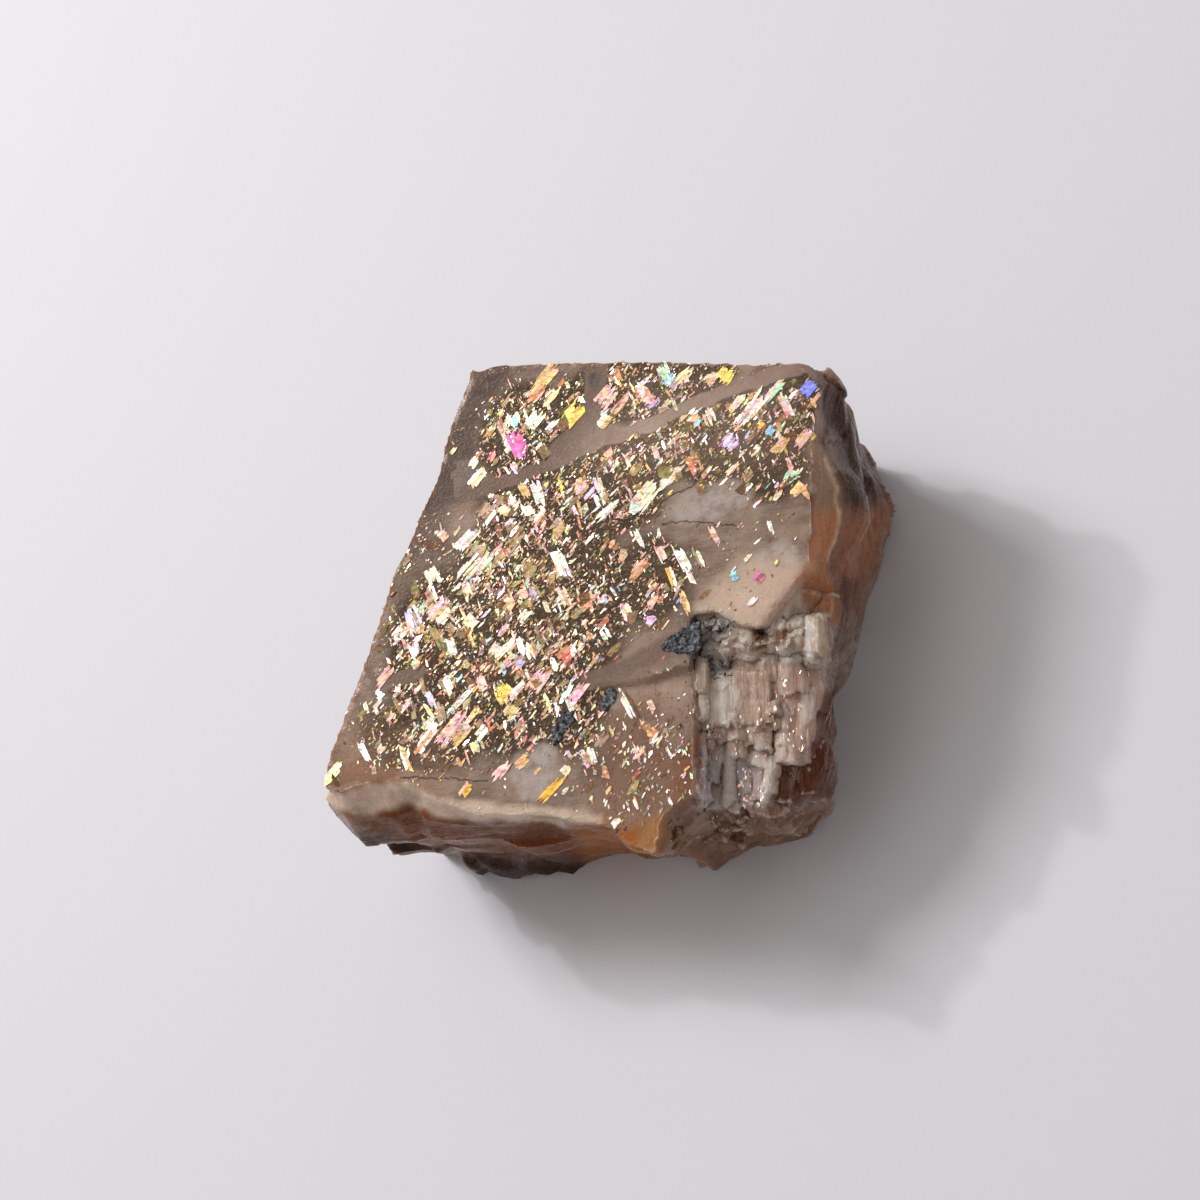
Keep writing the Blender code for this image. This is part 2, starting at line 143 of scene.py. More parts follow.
# Tints and shapes of single places, each inside an outline across and up as the camera sees it:
# the tint, its soft edge, how high lumps stand there, how smooth the break is, and the outline.
# Some of these tints are painted shade and painted glow, as noted at their rows.
ZONES = (
    ((0.64, 0.46, 0.38), 2, 0, 0, ((0, 7.2), (3.6, 11.6), (12, 12.6), (12.4, 7.6), (5, 6.2))),
    ((0.64, 0.43, 0.335), 1, 0, 0, ((2, -5.4), (6.9, -4.2), (6.9, -7.4), (3, -7.6))),
    # Painted shade: the upper left of the face darkened where a shadow fell across it.
    ((0.15, 0.1, 0.085), 0.9, 0, 0, ((-6.7, 9.7), (-5.2, 12.7), (-3, 12.9), (-4.2, 9.4), (-6.4, 5),
     (-9.4, 0.6), (-9.6, 2.2))),
    ((0.42, 0.21, 0.115), 1.4, 0, 0, ((-13.9, -11), (-12, -7.4), (-7, -8), (-6.4, -9.6),
     (-8, -11.2))),
    ((0.42, 0.22, 0.145), 1, 0, 0, ((1.7, -7.2), (4, -5.6), (7.1, -6.6), (7, -10.4), (4.6, -13.6),
     (1.4, -12.6))),
    # The chip bevel: pale warm stone, with a painted glow of light passing through the thin edge.
    ((1, 0.79, 0.63), 0.25, 0, 0.9, ((-14, -10.7), (-12.6, -11), (-11.2, -10.5), (-9.2, -10.4),
     (-7.2, -11.3), (1.7, -12.1), (1.7, -12.9), (-7.4, -12.4), (-8.9, -11.5), (-10.6, -12.1),
     (-13.8, -11.8))),
    ((0.24, 0.06, 0.005), 0.3, 0, 0.8, ((-11.8, -12.6), (-10.4, -12.2), (-8.9, -11.6),
     (-7.5, -12.5), (1.7, -13), (4.9, -13.2), (4.6, -14.9), (-6.1, -14.3), (-9.6, -13.6))),
    ((0.56, 0.18, 0.03), 0.7, 0, 0.8, ((0.2, -12.9), (4.9, -12.9), (4.6, -15.2), (0.6, -14.9))),
    # Painted shade: the underside below the near band, near black where it lay in deep shade.
    ((0.045, 0.01, 0.003), 0.5, 0, 0.7, ((-12.4, -13), (-9.6, -13.6), (-6.1, -14.4), (4.8, -14.9),
     (4.8, -17.5), (-12.4, -17.5))),
    # Painted shadow: the upper right side near black where a shadow fell across it.
    ((0.06, 0.016, 0.005), 0.8, 0, 0.75, ((13.8, 11.7), (15.4, 11.4), (17.9, 7.6), (17.2, 4.6),
     (15.6, 4.2), (15, 6.5))),
    ((0.48, 0.2, 0.1), 0.8, 0, 0.7, ((15, 4.4), (17.9, 5), (17.4, 2), (16, -0.8), (14.6, -1.2),
     (14.6, 1.8))),
    ((0.15, 0.035, 0.01), 0.6, 0, 0.6, ((13.4, -0.2), (14.9, 1.2), (16.2, 0.8), (15.4, -2.6),
     (14.7, -3.4), (14.7, -1.4))),
    # The lens facet: orange-brown stone, lightened to paint in the glow of light passing through
    # it on the shaded side.
    ((0.82, 0.38, 0.18), 0.25, 0, 0.9, ((13.6, 8.4), (14.4, 7.4), (14.9, 5.8), (14.8, 3.6),
     (14.3, 1.9), (12.8, -0.3), (10.8, -1.8), (12.2, 0.3), (13.2, 1.8), (13.5, 3.6), (13.7, 5.8))),
    ((0.55, 0.36, 0.24), 0.5, 0, 0.9, ((13.6, 8.6), (14.4, 7.6), (14.9, 5.8), (14.8, 4.6),
     (13.7, 4.8), (13.6, 6.2))),
    ((1, 0.74, 0.56), 0.09, 0, 0.9, ((14.1, 7.9), (14.95, 5.9), (14.9, 3.6), (14.4, 1.7),
     (14.25, 1.8), (14.72, 3.6), (14.76, 5.8), (14, 7.6))),
    ((0.62, 0.25, 0.1), 0.5, 0, 0.95, ((12.2, 0.8), (14.2, 1.6), (15, 0.2), (14.8, -1.6),
     (13.4, -0.9), (12.4, -0.6))),
    # The rim: pale stone, with a painted glow of light passing through the thin edge.
    ((0.95, 0.72, 0.57), 0.8, 0, 0.9, ((7.4, 0.1), (9.4, 1.9), (12.2, 1.9), (13.1, 1.5),
     (12.2, 0.3), (10.8, -1.5), (9.7, -1.9), (8.4, -1.5), (7.2, -1))),
    ((0.2, 0.045, 0.012), 0.4, 0, 0.5, ((13, -9.2), (14, -5.3), (14.8, -5.3), (14.8, -11.4),
     (11.1, -11.7), (11.4, -9.4))),
    ((0.93, 0.76, 0.655), 0.25, 0.5, 0, ((7.2, -1.4), (9.7, -1.9), (10.8, -1.5), (12.8, -0.8),
     (14.1, -1.2), (14.2, -3.7), (12.2, -3.8), (9.4, -3.6), (7.2, -3.3))),
    # The wall under the rim: pale stone, lightened to paint in a glow where it lies in shade.
    ((0.92, 0.7, 0.55), 0.35, 0, 0.95, ((7.2, -0.4), (9.7, -1), (10.8, -0.6), (12.8, 0.6),
     (12.9, -0.6), (10.8, -1.75), (9.7, -2.1), (7.2, -1.6))),
    ((0.6, 0.53, 0.48), 0.5, 0.6, 0, ((7.2, -1.4), (9, -1.4), (9.2, -2.2), (7.8, -2.5))),
    ((0.78, 0.57, 0.455), 0.2, 0, 0.5, ((7.2, -3.3), (9.4, -3.6), (11.4, -3.8), (11.5, -7.1),
     (9.4, -7.4), (7.2, -7.2))),
    ((0.64, 0.56, 0.51), 0.5, 0.4, 0, ((7.4, -3), (9, -3.3), (9, -4.7), (7.7, -4.8))),
    ((1, 0.88, 0.78), 0.25, 0, 0.75, ((7.9, -4.8), (8.9, -4.7), (9.4, -5.4), (9.4, -6.5),
     (8.8, -7.2), (7.8, -7.2), (7.4, -6.3), (7.6, -5.3))),
    ((1, 0.8, 0.62), 0.2, 0, 0.6, ((13.1, -1.1), (14.1, -1.1), (14.2, -3.7), (13.2, -3.8))),
    ((0.86, 0.6, 0.485), 0.2, 0, 0.35, ((11.4, -3.8), (14.1, -4.1), (13.9, -5.8), (13, -9.2),
     (11.4, -9.4))),
    ((1, 0.71, 0.59), 0.3, 0.15, 0, ((7.2, -7.2), (9.4, -7.4), (11.5, -7.1), (11.5, -8.5),
     (10, -9.6), (8.1, -9.2), (7.2, -8.5))),
    ((1, 0.85, 0.79), 0.25, 0, 0, ((7.1, -8.4), (11.5, -9.2), (11.2, -11.7), (7.1, -12.1))),
    ((0.4, 0.15, 0.075), 0.5, 0, 0.4, ((5.6, -10.6), (6.4, -8), (7.2, -7.8), (7.1, -10.8),
     (6.3, -11.6))),
    ((0.36, 0.195, 0.12), 0.6, 0.1, 0, ((4.8, -12.6), (7, -12.1), (11.3, -12), (14.4, -11.7),
     (13.4, -14.4), (8, -15.4), (4.6, -15.2))),
    # The near slab's tip: warm orange stone, with a painted glow of light passing through the thin
    # edge.
    ((0.56, 0.27, 0.1), 0.3, 0, 0.4, ((4, -12.6), (5, -12), (5.4, -12.9), (4.7, -14.7),
     (3.6, -14.2))),
    ((0.3, 0.17, 0.1), 0.2, -0.1, 0.5, ((10.1, -1.8), (10.8, -1.8), (10.9, -3.1), (10.1, -3.1))),
    ((0.3, 0.17, 0.1), 0.2, -0.1, 0.5, ((11.4, -1.8), (12.2, -1.8), (12.2, -2.5), (11.4, -2.6))),
    ((0.05, 0.045, 0.045), 0.15, 0, 0, ((0.5, 3.5), (1, 3.8), (1.7, 3.6), (1.6, 3.2), (0.8, 3.1))),
    ((0.1, 0.08, 0.075), 0.2, 0, 0, ((1.1, 12.2), (1.7, 12.3), (1.8, 11.5), (1.3, 11.3))),
)
# Bundles of splinters in the corner: how many, how wide, the ends of the first one and the ends
# of the last one, as the camera sees them.
BUNDLES = (
    (4, 0.95, ((11.7, -4.4), (11.8, -8.8)), ((13.8, -4.3), (13.1, -8.4))),
    (2, 1.1, ((13.3, -1.2), (13.3, -3.6)), ((14.2, -1.2), (14.2, -3.5))),
    (2, 0.8, ((9.8, -6.2), (10, -7.4)), ((11.4, -6), (11.3, -7.6))),
)
# Single splinters that fill up steep steps: across, up and height of both ends, and the width.
FILLERS = (
    ((7.3, -3.5, -0.8), (7.25, -5.3, -0.9), 0.8), ((7.45, -5, -1.05), (7.35, -6.9, -1.05), 0.7),
    ((7.3, -7.2, -1.5), (7.15, -9.3, -1.7), 0.8), ((7.2, -9, -1.3), (7.1, -11.5, -1.6), 0.7),
    ((7.6, -8.3, -2.4), (7.4, -11, -2.5), 0.8), ((7.2, -1.6, -0.85), (9.4, -1.9, -0.95), 1.3),
    ((7.3, -2.3, -1.35), (8.8, -2.5, -1.45), 1.2), ((9.4, -2, -1.1), (10.2, -1.8, -1.1), 1),
    ((8.4, -1.8, -0.95), (10.3, -2.2, -0.95), 1.3), ((9.9, -1.5, -1), (12, -2, -0.9), 1.3),
    ((11.4, -2, -1), (13, -1.6, -1.15), 1.2), ((8.6, -2.7, -1.1), (10.4, -2.4, -1.1), 1.2),
    ((7.5, -3, -1.2), (10.9, -3, -1.3), 1.2), ((10.4, -2.9, -1.1), (13, -2.3, -1.15), 1.3),
    ((8.3, -2.9, -1.75), (8.4, -5.2, -2.15), 1.9), ((9.6, -3.1, -1.7), (9.7, -5.8, -2.2), 1.7),
    ((10.9, -2.6, -1.75), (11.1, -4.9, -2.2), 1.9), ((12.3, -3, -1.75), (12.4, -5.4, -2.3), 1.7),
    ((7.9, -6.5, -1.45), (7.85, -7.8, -1.95), 0.9), ((9.2, -6.6, -1.5), (9.3, -7.9, -1.9), 0.9),
    ((10.5, -6.4, -1.5), (10.6, -7.5, -1.9), 0.8), ((7.7, -6.9, -1.95), (7.6, -8.5, -2.35), 1),
    ((8.5, -7, -1.75), (8.6, -8, -2.4), 1), ((9.3, -6.9, -2), (9.3, -8.9, -2.5), 1.1),
    ((10.1, -7, -1.8), (10.2, -8.2, -2.3), 1), ((10.9, -6.9, -1.8), (10.8, -8.6, -2.3), 1),
    ((8.1, -8.2, -2.7), (8, -10.4, -2.9), 0.7), ((8.9, -8.4, -2.6), (8.8, -11.4, -2.9), 0.7),
    ((11.3, -8.9, -2.6), (11.1, -11.2, -2.9), 0.9), ((12, -9.2, -3.2), (11.8, -11.4, -3.4), 1),
)
# Bright cleavage facets in the corner: a tint, and the outline as the camera sees it.
FACETS = (
    ((1, 0.8, 0.7), ((10.4, -7.9), (11.1, -8.3), (11, -9.6), (10.1, -9.5))),
    ((1, 0.76, 0.68), ((11.5, -7.4), (12.2, -7.7), (12.5, -9.2), (11.6, -9.3))),
    ((1, 0.82, 0.72), ((12.9, -5.3), (13.6, -5.1), (13.4, -6.9), (12.9, -7.4))),
    ((1, 0.9, 0.82), ((13.15, -1.5), (13.5, -1.4), (13.55, -3.3), (13.25, -3.4))),
    # Painted reflection: these two, on the shaded wall beside the slot, are tinted near white to
    # look bright.
    ((1, 0.95, 1), ((7.3, -8.3), (7.6, -8.3), (7.5, -10), (7.25, -10.3))),
    ((1, 0.95, 1), ((7.4, -10.2), (7.8, -10.1), (7.6, -11.3), (7.3, -11.4))),
    ((0.92, 0.8, 0.84), ((9.5, -9.6), (10.1, -9.7), (9.9, -10.9), (9.6, -11.1))),
    ((1, 0.82, 0.78), ((10.2, -10), (10.7, -10.2), (10.6, -11.4), (10.1, -11.5))),
)
# How far a facet stands out of the crust.
FACET_PROUD = 0.16
# The corner's crust is cut out of the solid from this far across, up to here and down to here.
CRUST_LEFT, CRUST_TOP, CRUST_DEPTH = 6.4, -0.6, -6.8
# Lumps fused into the corner's crust: how many, the least and the greatest size, the outline.
LUMP_BEDS = (
    (12, 0.8, 1.6, ((7.2, -1.9), (9.7, -2.2), (11.4, -2.2), (12.9, -1.6), (12.9, -3.3), (12, -3.6),
     (9.4, -3.5), (7.3, -3.2))),
    (7, 0.9, 1.4, ((7.2, -1.5), (9.4, -1.8), (9.3, -2.1), (7.2, -2.1))),
    (50, 0.25, 0.6, ((7.2, -1.7), (9.7, -2.1), (10.8, -2), (13, -1.5), (13, -3.5), (12.2, -3.7),
     (9.4, -3.6), (7.3, -3.4))),
    (5, 0.8, 1.3, ((7.6, -7.7), (11, -7.8), (11, -8.4), (7.6, -8.4))),
    (20, 0.25, 0.5, ((7.3, -7.4), (11.4, -7.5), (11.4, -9.2), (8, -9.2), (7.3, -8.8))),
    (20, 0.25, 0.5, ((9.3, -9.6), (11, -9.7), (10.9, -12), (9, -12))),
    (14, 0.8, 1.8, ((5.2, -12), (7.1, -11.9), (11.4, -11.7), (10.6, -13.4), (5.6, -14.2))),
    (20, 0.3, 0.7, ((5.2, -12), (7.1, -11.9), (11.4, -11.7), (10.6, -13.4), (5.6, -14.2))),
)
# Glinting scales in the crust: how many, the least and the greatest length, the outline.
SCALE_BEDS = (
    (26, 0.08, 0.22, ((7.4, -1.8), (9.7, -2.2), (12.8, -1.6), (12.6, -3.6), (9.4, -3.6),
     (7.4, -3.3))),
    (14, 0.06, 0.36, ((8.8, -6), (11.5, -6), (11.5, -7.5), (9.2, -7.4))),
    (30, 0.08, 0.26, ((7.3, -7.2), (11.3, -7.4), (11.3, -9), (8, -9.3), (7.3, -8.8))),
    (70, 0.08, 0.26, ((9.3, -9.6), (11, -9.8), (10.8, -11.8), (9.3, -11.8))),
    (40, 0.08, 0.3, ((7.2, -8), (7.9, -8), (7.9, -11.6), (7.2, -11.6))),
    (26, 0.08, 0.32, ((11.4, -4.4), (13.9, -4.2), (13.2, -9), (11.4, -9.2))),
    (18, 0.08, 0.22, ((5.4, -12), (10.8, -11.9), (10.2, -13), (5.6, -13.8))),
    (90, 0.1, 0.42, ((1.8, -6.6), (6.9, -6), (6.9, -11.2), (3.6, -13), (1, -12.2))),
)
# Black magnetite: how many grains, their size, how far a plate under them stands out, the outline.
MAGNETITE = (
    (170, 0.34, 0.06, ((5.05, -2.9), (5.4, -2.5), (6.1, -1.95), (6.8, -1.6), (7.25, -1.4),
     (7.2, -3), (6.8, -3.2), (6, -3.25), (5.4, -3.15))),
    (110, 0.28, 0.04, ((0.3, -6.4), (-0.3, -6.5), (-0.8, -7.1), (-1.1, -7.8), (-1.25, -8.25),
     (-0.9, -8.3), (-0.5, -8), (-0.1, -7.4), (0.3, -6.8))),
    (60, 0.26, 0.04, ((2.3, -5.1), (2.6, -5.4), (2.4, -6), (2.1, -6.4), (1.75, -6.4), (1.75, -6),
     (1.9, -5.4))),
    (12, 0.16, 0, ((2.7, -12.8), (3.2, -12.8), (3.1, -13.1), (2.7, -13.1))),
    (130, 0.17, 0, ((7.2, -1.4), (7.9, -1.2), (9, -1.3), (9.5, -1.9), (8.4, -2.1), (7.6, -2),
     (7.3, -2.3))),
    (120, 0.16, 0, ((7.4, -3), (8.1, -3), (9, -3.5), (9, -4.5), (8.1, -4.8), (7.6, -4.2))),
    (60, 0.1, 0, ((7.4, -1.9), (9.6, -2), (9.2, -4.8), (7.5, -4.9))),
    (46, 0.14, 0, ((6.7, -6.9), (7.2, -6.8), (8.1, -7.4), (8.1, -8), (7.4, -7.9), (6.8, -7.3))),
    (46, 0.1, 0, ((8, -7.3), (11.4, -7.3), (11.4, -9.4), (8.2, -9.2))),
    (26, 0.1, 0, ((13.2, -1.3), (12.2, -1.2), (12.4, -2.6), (13.2, -2.4))),
)

# The large flakes by colour: across, up, length and width, along the main direction ...
MAIN_FLAKES = {
    "white": (
        (-3.8, 9.4, 0.7, 0.52), (-1.1, 10.2, 1.1, 0.33), (-6.3, 3.9, 1.7, 0.65),
        (-3.4, 5.8, 0.7, 0.52), (-1.8, 4.8, 1.1, 0.32), (-2.7, -0.9, 0.9, 0.44),
        (-10.3, -1.2, 1.1, 0.65), (-2.2, 10.6, 1.4, 0.72), (10.6, 9.5, 2.3, 0.68),
        (2.4, 4.8, 2.1, 0.37), (5.7, 6.1, 1.4, 0.37), (10.5, -1.4, 0.8, 0.23),
        (-3.1, -5.2, 1.1, 0.37), (-6.4, -5.4, 2.3, 0.31), (-8.6, -7.6, 1.9, 0.5),
        (-8.3, -6.8, 0.9, 0.73), (-5.2, -7.4, 1, 0.49), (-11.5, -4.7, 0.5, 0.51),
        (4.9, -8.5, 0.8, 0.46), (2.6, -12.9, 0.6, 0.33),
    ),
    "magenta": ((-4.8, 8.7, 0.7, 0.39), (10.9, -0.1, 0.6, 0.53)),
    "yellow": (
        (0.1, 10.8, 1.4, 1.1), (9.2, 11.8, 0.9, 0.94), (14, 7.7, 0.5, 0.47),
        (11.9, 0.6, 0.4, 0.23),
    ),
    "cream": (
        (-5.7, 7.5, 1.4, 0.59), (-5.7, 2.3, 2.6, 0.97), (-6, -1, 0.9, 0.76),
        (-5.9, 8.5, 0.7, 0.46), (9.7, 10, 1.1, 0.31), (4.4, 5.2, 2.1, 0.99),
        (10.3, 1.1, 0.6, 0.18), (5.5, -2.2, 0.9, 0.24), (-4.4, -2.8, 0.8, 0.75),
        (-11.6, -5.3, 1, 0.26), (-9.8, -5.5, 1, 0.25),
    ),
    "rose": (
        (-7.9, -0.2, 1.3, 1.09), (2.2, 11.5, 1.4, 0.97), (12, 10.6, 1.6, 0.37),
        (-1.8, -4.7, 1.7, 0.79), (-7, -7.1, 2.7, 0.75), (-4, -9.7, 1.4, 0.54),
        (-11.4, -7.8, 0.6, 0.57), (0.4, -5.7, 1.4, 0.54),
    ),
    "salmon": (
        (-7.8, 4.3, 0.7, 0.59), (-2.8, 0.3, 0.6, 0.62), (8.4, 11.7, 1.1, 0.44),
        (3, 10.8, 1.8, 0.51), (7.4, 9.4, 0.8, 0.69), (13.5, 7.5, 1.3, 0.6), (4.8, -0.9, 1.2, 0.42),
        (-11.2, -3.7, 1.4, 0.45),
    ),
    "tan": ((-5.1, 5.4, 1, 1.04), (1.8, -8.4, 1.1, 0.41)),
    "lemon": (
        (-4, 5.4, 0.7, 0.58), (6.8, 12.2, 1.4, 0.38), (2.1, 10.1, 1, 0.57),
        (-14.3, -9.1, 1.7, 0.51), (-0.2, -9.9, 0.7, 0.53),
    ),
    "gold": (
        (0.6, 6.3, 1.1, 0.82), (-1.5, 13.2, 1.7, 0.79), (-7.2, 9.4, 0.7, 0.2),
        (12.3, 7.3, 1.3, 0.54), (13.1, 4.6, 1, 0.47), (-3.5, -6.3, 0.8, 0.61),
        (-6.4, -7.5, 1.7, 0.56), (-2.8, -9.3, 1, 0.48),
    ),
    "copper": ((-2.1, 12.3, 1.4, 0.79), (4.2, 1.2, 1.8, 0.55)),
    "aqua": ((6, 11.9, 0.8, 0.63), (11.7, 8.2, 0.6, 0.42), (9.5, 0.1, 0.5, 0.47)),
    "blue": ((13.9, 10.4, 0.9, 0.67),),
    "lilac": (
        (9.4, 7.9, 1, 0.8), (10.5, 8, 0.7, 0.49), (4.7, -1.9, 0.7, 0.48), (2, -0.5, 0.6, 0.49),
        (-3, -3.6, 0.8, 0.56),
    ),
    "orange": ((11.2, 8.6, 0.5, 0.43), (-1.1, -11, 2.1, 0.47), (-6.1, -10.6, 0.9, 0.48)),
    "mint": ((12.8, 5.5, 0.9, 0.59), (3.8, 4.7, 0.8, 0.5), (-9.2, -3.2, 0.6, 0.51)),
    "coral": ((-0.2, -3.4, 0.9, 0.79),),
}
# ... and along the other one.
CROSS_FLAKES = {
    "magenta": ((-3.2, 9.2, 1.7, 0.84),),
    "aqua": ((-3.3, 10.8, 1, 0.42),),
    "white": (
        (-3.4, 7.9, 0.9, 0.35), (-2, 6.3, 1.6, 0.53), (1.8, 5.3, 0.9, 0.51), (-0.6, 2, 2, 0.57),
        (4.5, 11.3, 1.6, 0.59), (4.1, 2.8, 1.6, 0.28), (6.7, 1.1, 2.2, 0.57),
        (11.6, 2.7, 0.9, 0.22), (-9.4, -2.4, 1.1, 0.54), (-7.1, -2.4, 1.3, 0.47),
        (-2.3, -3, 1.2, 0.62), (0.2, -3.2, 0.7, 0.35), (-7.3, -4.6, 1.1, 0.58),
        (-9.8, -8.6, 1.7, 0.35), (-12.4, -7.9, 1.7, 0.36), (1.1, -9.2, 1, 0.73),
        (3.3, -6.4, 1.6, 0.51), (5.5, -9.1, 0.4, 0.17), (5.6, -11.9, 0.5, 0.17),
    ),
    "cream": (
        (-6.2, 0.9, 1.2, 0.47), (-8.4, 2, 1.1, 0.71), (-2.6, 5.3, 1, 0.56),
        (-0.3, -0.1, 1.6, 0.46), (8.3, 9.6, 1.1, 0.44), (7.6, 1.2, 1.3, 0.33),
        (3.3, -1.2, 1.3, 0.5), (6.4, -9.3, 0.5, 0.17), (3.7, -11.9, 0.9, 0.17),
    ),
    "lilac": (
        (-9.5, -0.5, 1.6, 0.84), (1.7, 6.2, 1.2, 0.41), (-2.1, 0.3, 1, 0.57),
        (-8.3, -5.3, 1.2, 0.35),
    ),
    "tan": ((-8.4, 0.8, 1, 0.6), (-2.9, -7.2, 0.8, 0.52), (-7.7, -6.1, 1.3, 0.48)),
    "gold": (
        (-2.8, 6.5, 1.1, 0.47), (-6.4, -0.5, 1.5, 0.17), (-6, -1.9, 1.8, 0.23),
        (6.7, -1.1, 1.8, 0.33),
    ),
    "olive": ((-7.9, -1.8, 1.8, 0.48),),
    "mint": ((5.6, 12.5, 1.4, 0.68),),
    "rose": (
        (12.6, 9.7, 1.6, 0.44), (5.3, 1.9, 1.2, 0.44), (8.4, 2.6, 1.3, 0.28),
        (-5.2, -4.7, 1.1, 0.46), (4.6, -6.6, 0.9, 0.27),
    ),
    "coral": ((7.3, 6.9, 1.3, 0.63),),
    "orange": ((6, 0.3, 1.7, 0.33),),
    "yellow": ((-3.9, -5.3, 1.2, 0.99),),
    "lemon": ((-5.6, -8.2, 0.8, 0.47), (-1.3, -6, 1.5, 0.23)),
}


# ---- Lies and places -------------------------------------------------------------------------


def resting_lie():
    """From the level stone in millimetres to the resting stone in metres."""
    tip = Matrix.Rotation(math.radians(FACE_TILT), 4, Vector(TILT_AXIS).normalized())
    lift = Matrix.Translation((*FACE_MIDDLE, THICKNESS))
    return Matrix.Scale(MM, 4) @ lift @ tip


LIE = resting_lie()
UPRIGHT = Vector((0.0, 0.0, 1.0))
DOWN = Vector((0.0, 0.0, -1.0))
HALVES = (0.5, 0.5, 0.5)


def sight_axes():
    """Right, up and back, the way the stage's camera stands to the level stone."""
    back = Vector((math.sin(math.radians(LEAN_RIGHT)), -math.sin(math.radians(LEAN_NEAR)), 0.0))
    back.z = math.sqrt(1.0 - back.length_squared)
    right = Vector((0.0, 1.0, 0.0)).cross(back).normalized()
    return right, back.cross(right), back


SIGHT_AXES = sight_axes()


def sight_line(across, up, distance=SIGHT_DISTANCE):
    """The camera's place, and the way from it to a place that far across and up as it sees it."""
    right, upward, back = SIGHT_AXES
    aim = (-right * PICTURE_MIDDLE[0] - upward * PICTURE_MIDDLE[1]) / distance - back
    return -aim * distance, aim + (right * across + upward * up) / distance


SIGHT_PLACE, _ = sight_line(0.0, 0.0)


def seen_at(place):
    """How far across and up a place falls as the camera sees it."""
    right, upward, back = SIGHT_AXES
    off = place - SIGHT_PLACE
    scale = -SIGHT_DISTANCE / off.dot(back)
    return (off.dot(right) * scale + PICTURE_MIDDLE[0],
            off.dot(upward) * scale + PICTURE_MIDDLE[1])


def wave(u, v, fine, height):
    """Smooth noise over the face, from about -1 to 1."""
    return noise.noise(Vector((u * fine, v * fine, height)))


def heading(turn):
    """How far across and up a step of 1 mm goes in this direction, given in degrees."""
    return math.cos(math.radians(turn)), math.sin(math.radians(turn))


def smooth_step(low, high, value):
    share = min(1.0, max(0.0, (value - low) / (high - low)))
    return share * share * (3.0 - 2.0 * share)


def line_distance(u, v, line):
    """Distance on the face from a place to a line of straight runs."""
    nearest = math.inf
    for (u0, v0), (u1, v1) in zip(line, line[1:]):
        run_u, run_v = u1 - u0, v1 - v0
        share = ((u - u0) * run_u + (v - v0) * run_v) / (run_u * run_u + run_v * run_v)
        share = min(1.0, max(0.0, share))
        nearest = min(nearest, math.hypot(u - u0 - share * run_u, v - v0 - share * run_v))
    return nearest


def box_of(outline):
    """The least and greatest across and up of an outline, with room for its soft edge."""
    room = 1.5
    across, up = zip(*outline)
    return min(across) - room, max(across) + room, min(up) - room, max(up) + room


def inside(across, up, outline):
    within = False
    for (x0, y0), (x1, y1) in zip(outline, outline[1:] + outline[:1]):
        if (y0 > up) != (y1 > up) and across < x0 + (up - y0) * (x1 - x0) / (y1 - y0):
            within = not within
    return within


def inside_share(across, up, outline, soft):
    """1 well inside an outline and 0 outside it, with a soft edge."""
    away = line_distance(across, up, outline + outline[:1])
    return smooth_step(-soft, soft, away if inside(across, up, outline) else -away)


# Each facet is a zone too, with a crisp edge, no lumps and a smooth break.
ALL_ZONES = (*ZONES, *((tint, 0.08, 0.0, 0.9, outline) for tint, outline in FACETS))
ZONE_BOXES = [box_of(zone[-1]) for zone in ALL_ZONES]


def zone_at(place, normal):
    """The tint that a place has and how strongly, how lumpy and how smooth it is. Some tints are
    painted shade, painted glow and a painted reflection.
    """
    tint, share, lumps, calm = Vector((0.0, 0.0, 0.0)), 0.0, 0.0, 0.0
    facing = smooth_step(-0.15, 0.15, normal.dot((SIGHT_PLACE - place).normalized()))
    if not facing:
        return (*tint, share), lumps, calm
    across, up = seen_at(place)
    across += 0.22 * noise.noise(place / 0.9)
    up += 0.22 * noise.noise(place / 0.9 + UPRIGHT * 7.0)
    for (colour, soft, height, smooth, outline), box in zip(ALL_ZONES, ZONE_BOXES):
        if not (box[0] < across < box[1] and box[2] < up < box[3]):
            continue
        part = inside_share(across, up, outline, soft) * facing
        if part:
            whole = part + share * (1.0 - part)
            tint = (Vector(colour) * part + tint * share * (1.0 - part)) / whole
            share = whole
            lumps += (height - lumps) * part
            calm += (smooth - calm) * part
    return (*tint, share), lumps, calm


def lane_at(u, v):
    """1 in the middle of a band that the flakes leave free, and 0 away from them all."""
    wander = 0.25 * wave(u, v, 0.9, 3.0)
    free = 0.0
    for half_width, line in LANES:
        away = line_distance(u, v, line) + wander
        free = max(free, 1.0 - smooth_step(half_width * 0.8, half_width * 1.35, away))
    return free


def crowd_at(u, v):
    """How thickly the flakes crowd round a place on the face, from 0 to 1."""
    thick = 0.03
    wander = 0.12 * wave(u, v, 0.4, 5.0)
    for mid_u, mid_v, reach_u, reach_v, amount in CROWDS:
        away = math.hypot((u - mid_u) / reach_u, (v - mid_v) / reach_v) + wander
        thick = max(thick, amount * (1.0 - smooth_step(0.5, 1.1, away)))
    return thick * (1.0 - lane_at(u, v)) * (1.0 - 0.8 * milk_at(u, v))


def patch_at(u, v):
    """The flakes' gathering into small clusters, from about 0 to 2."""
    return max(0.0, 0.85 + 0.6 * wave(u, v, 0.55, 7.0) + 1.1 * wave(u, v, 1.7, 17.0))


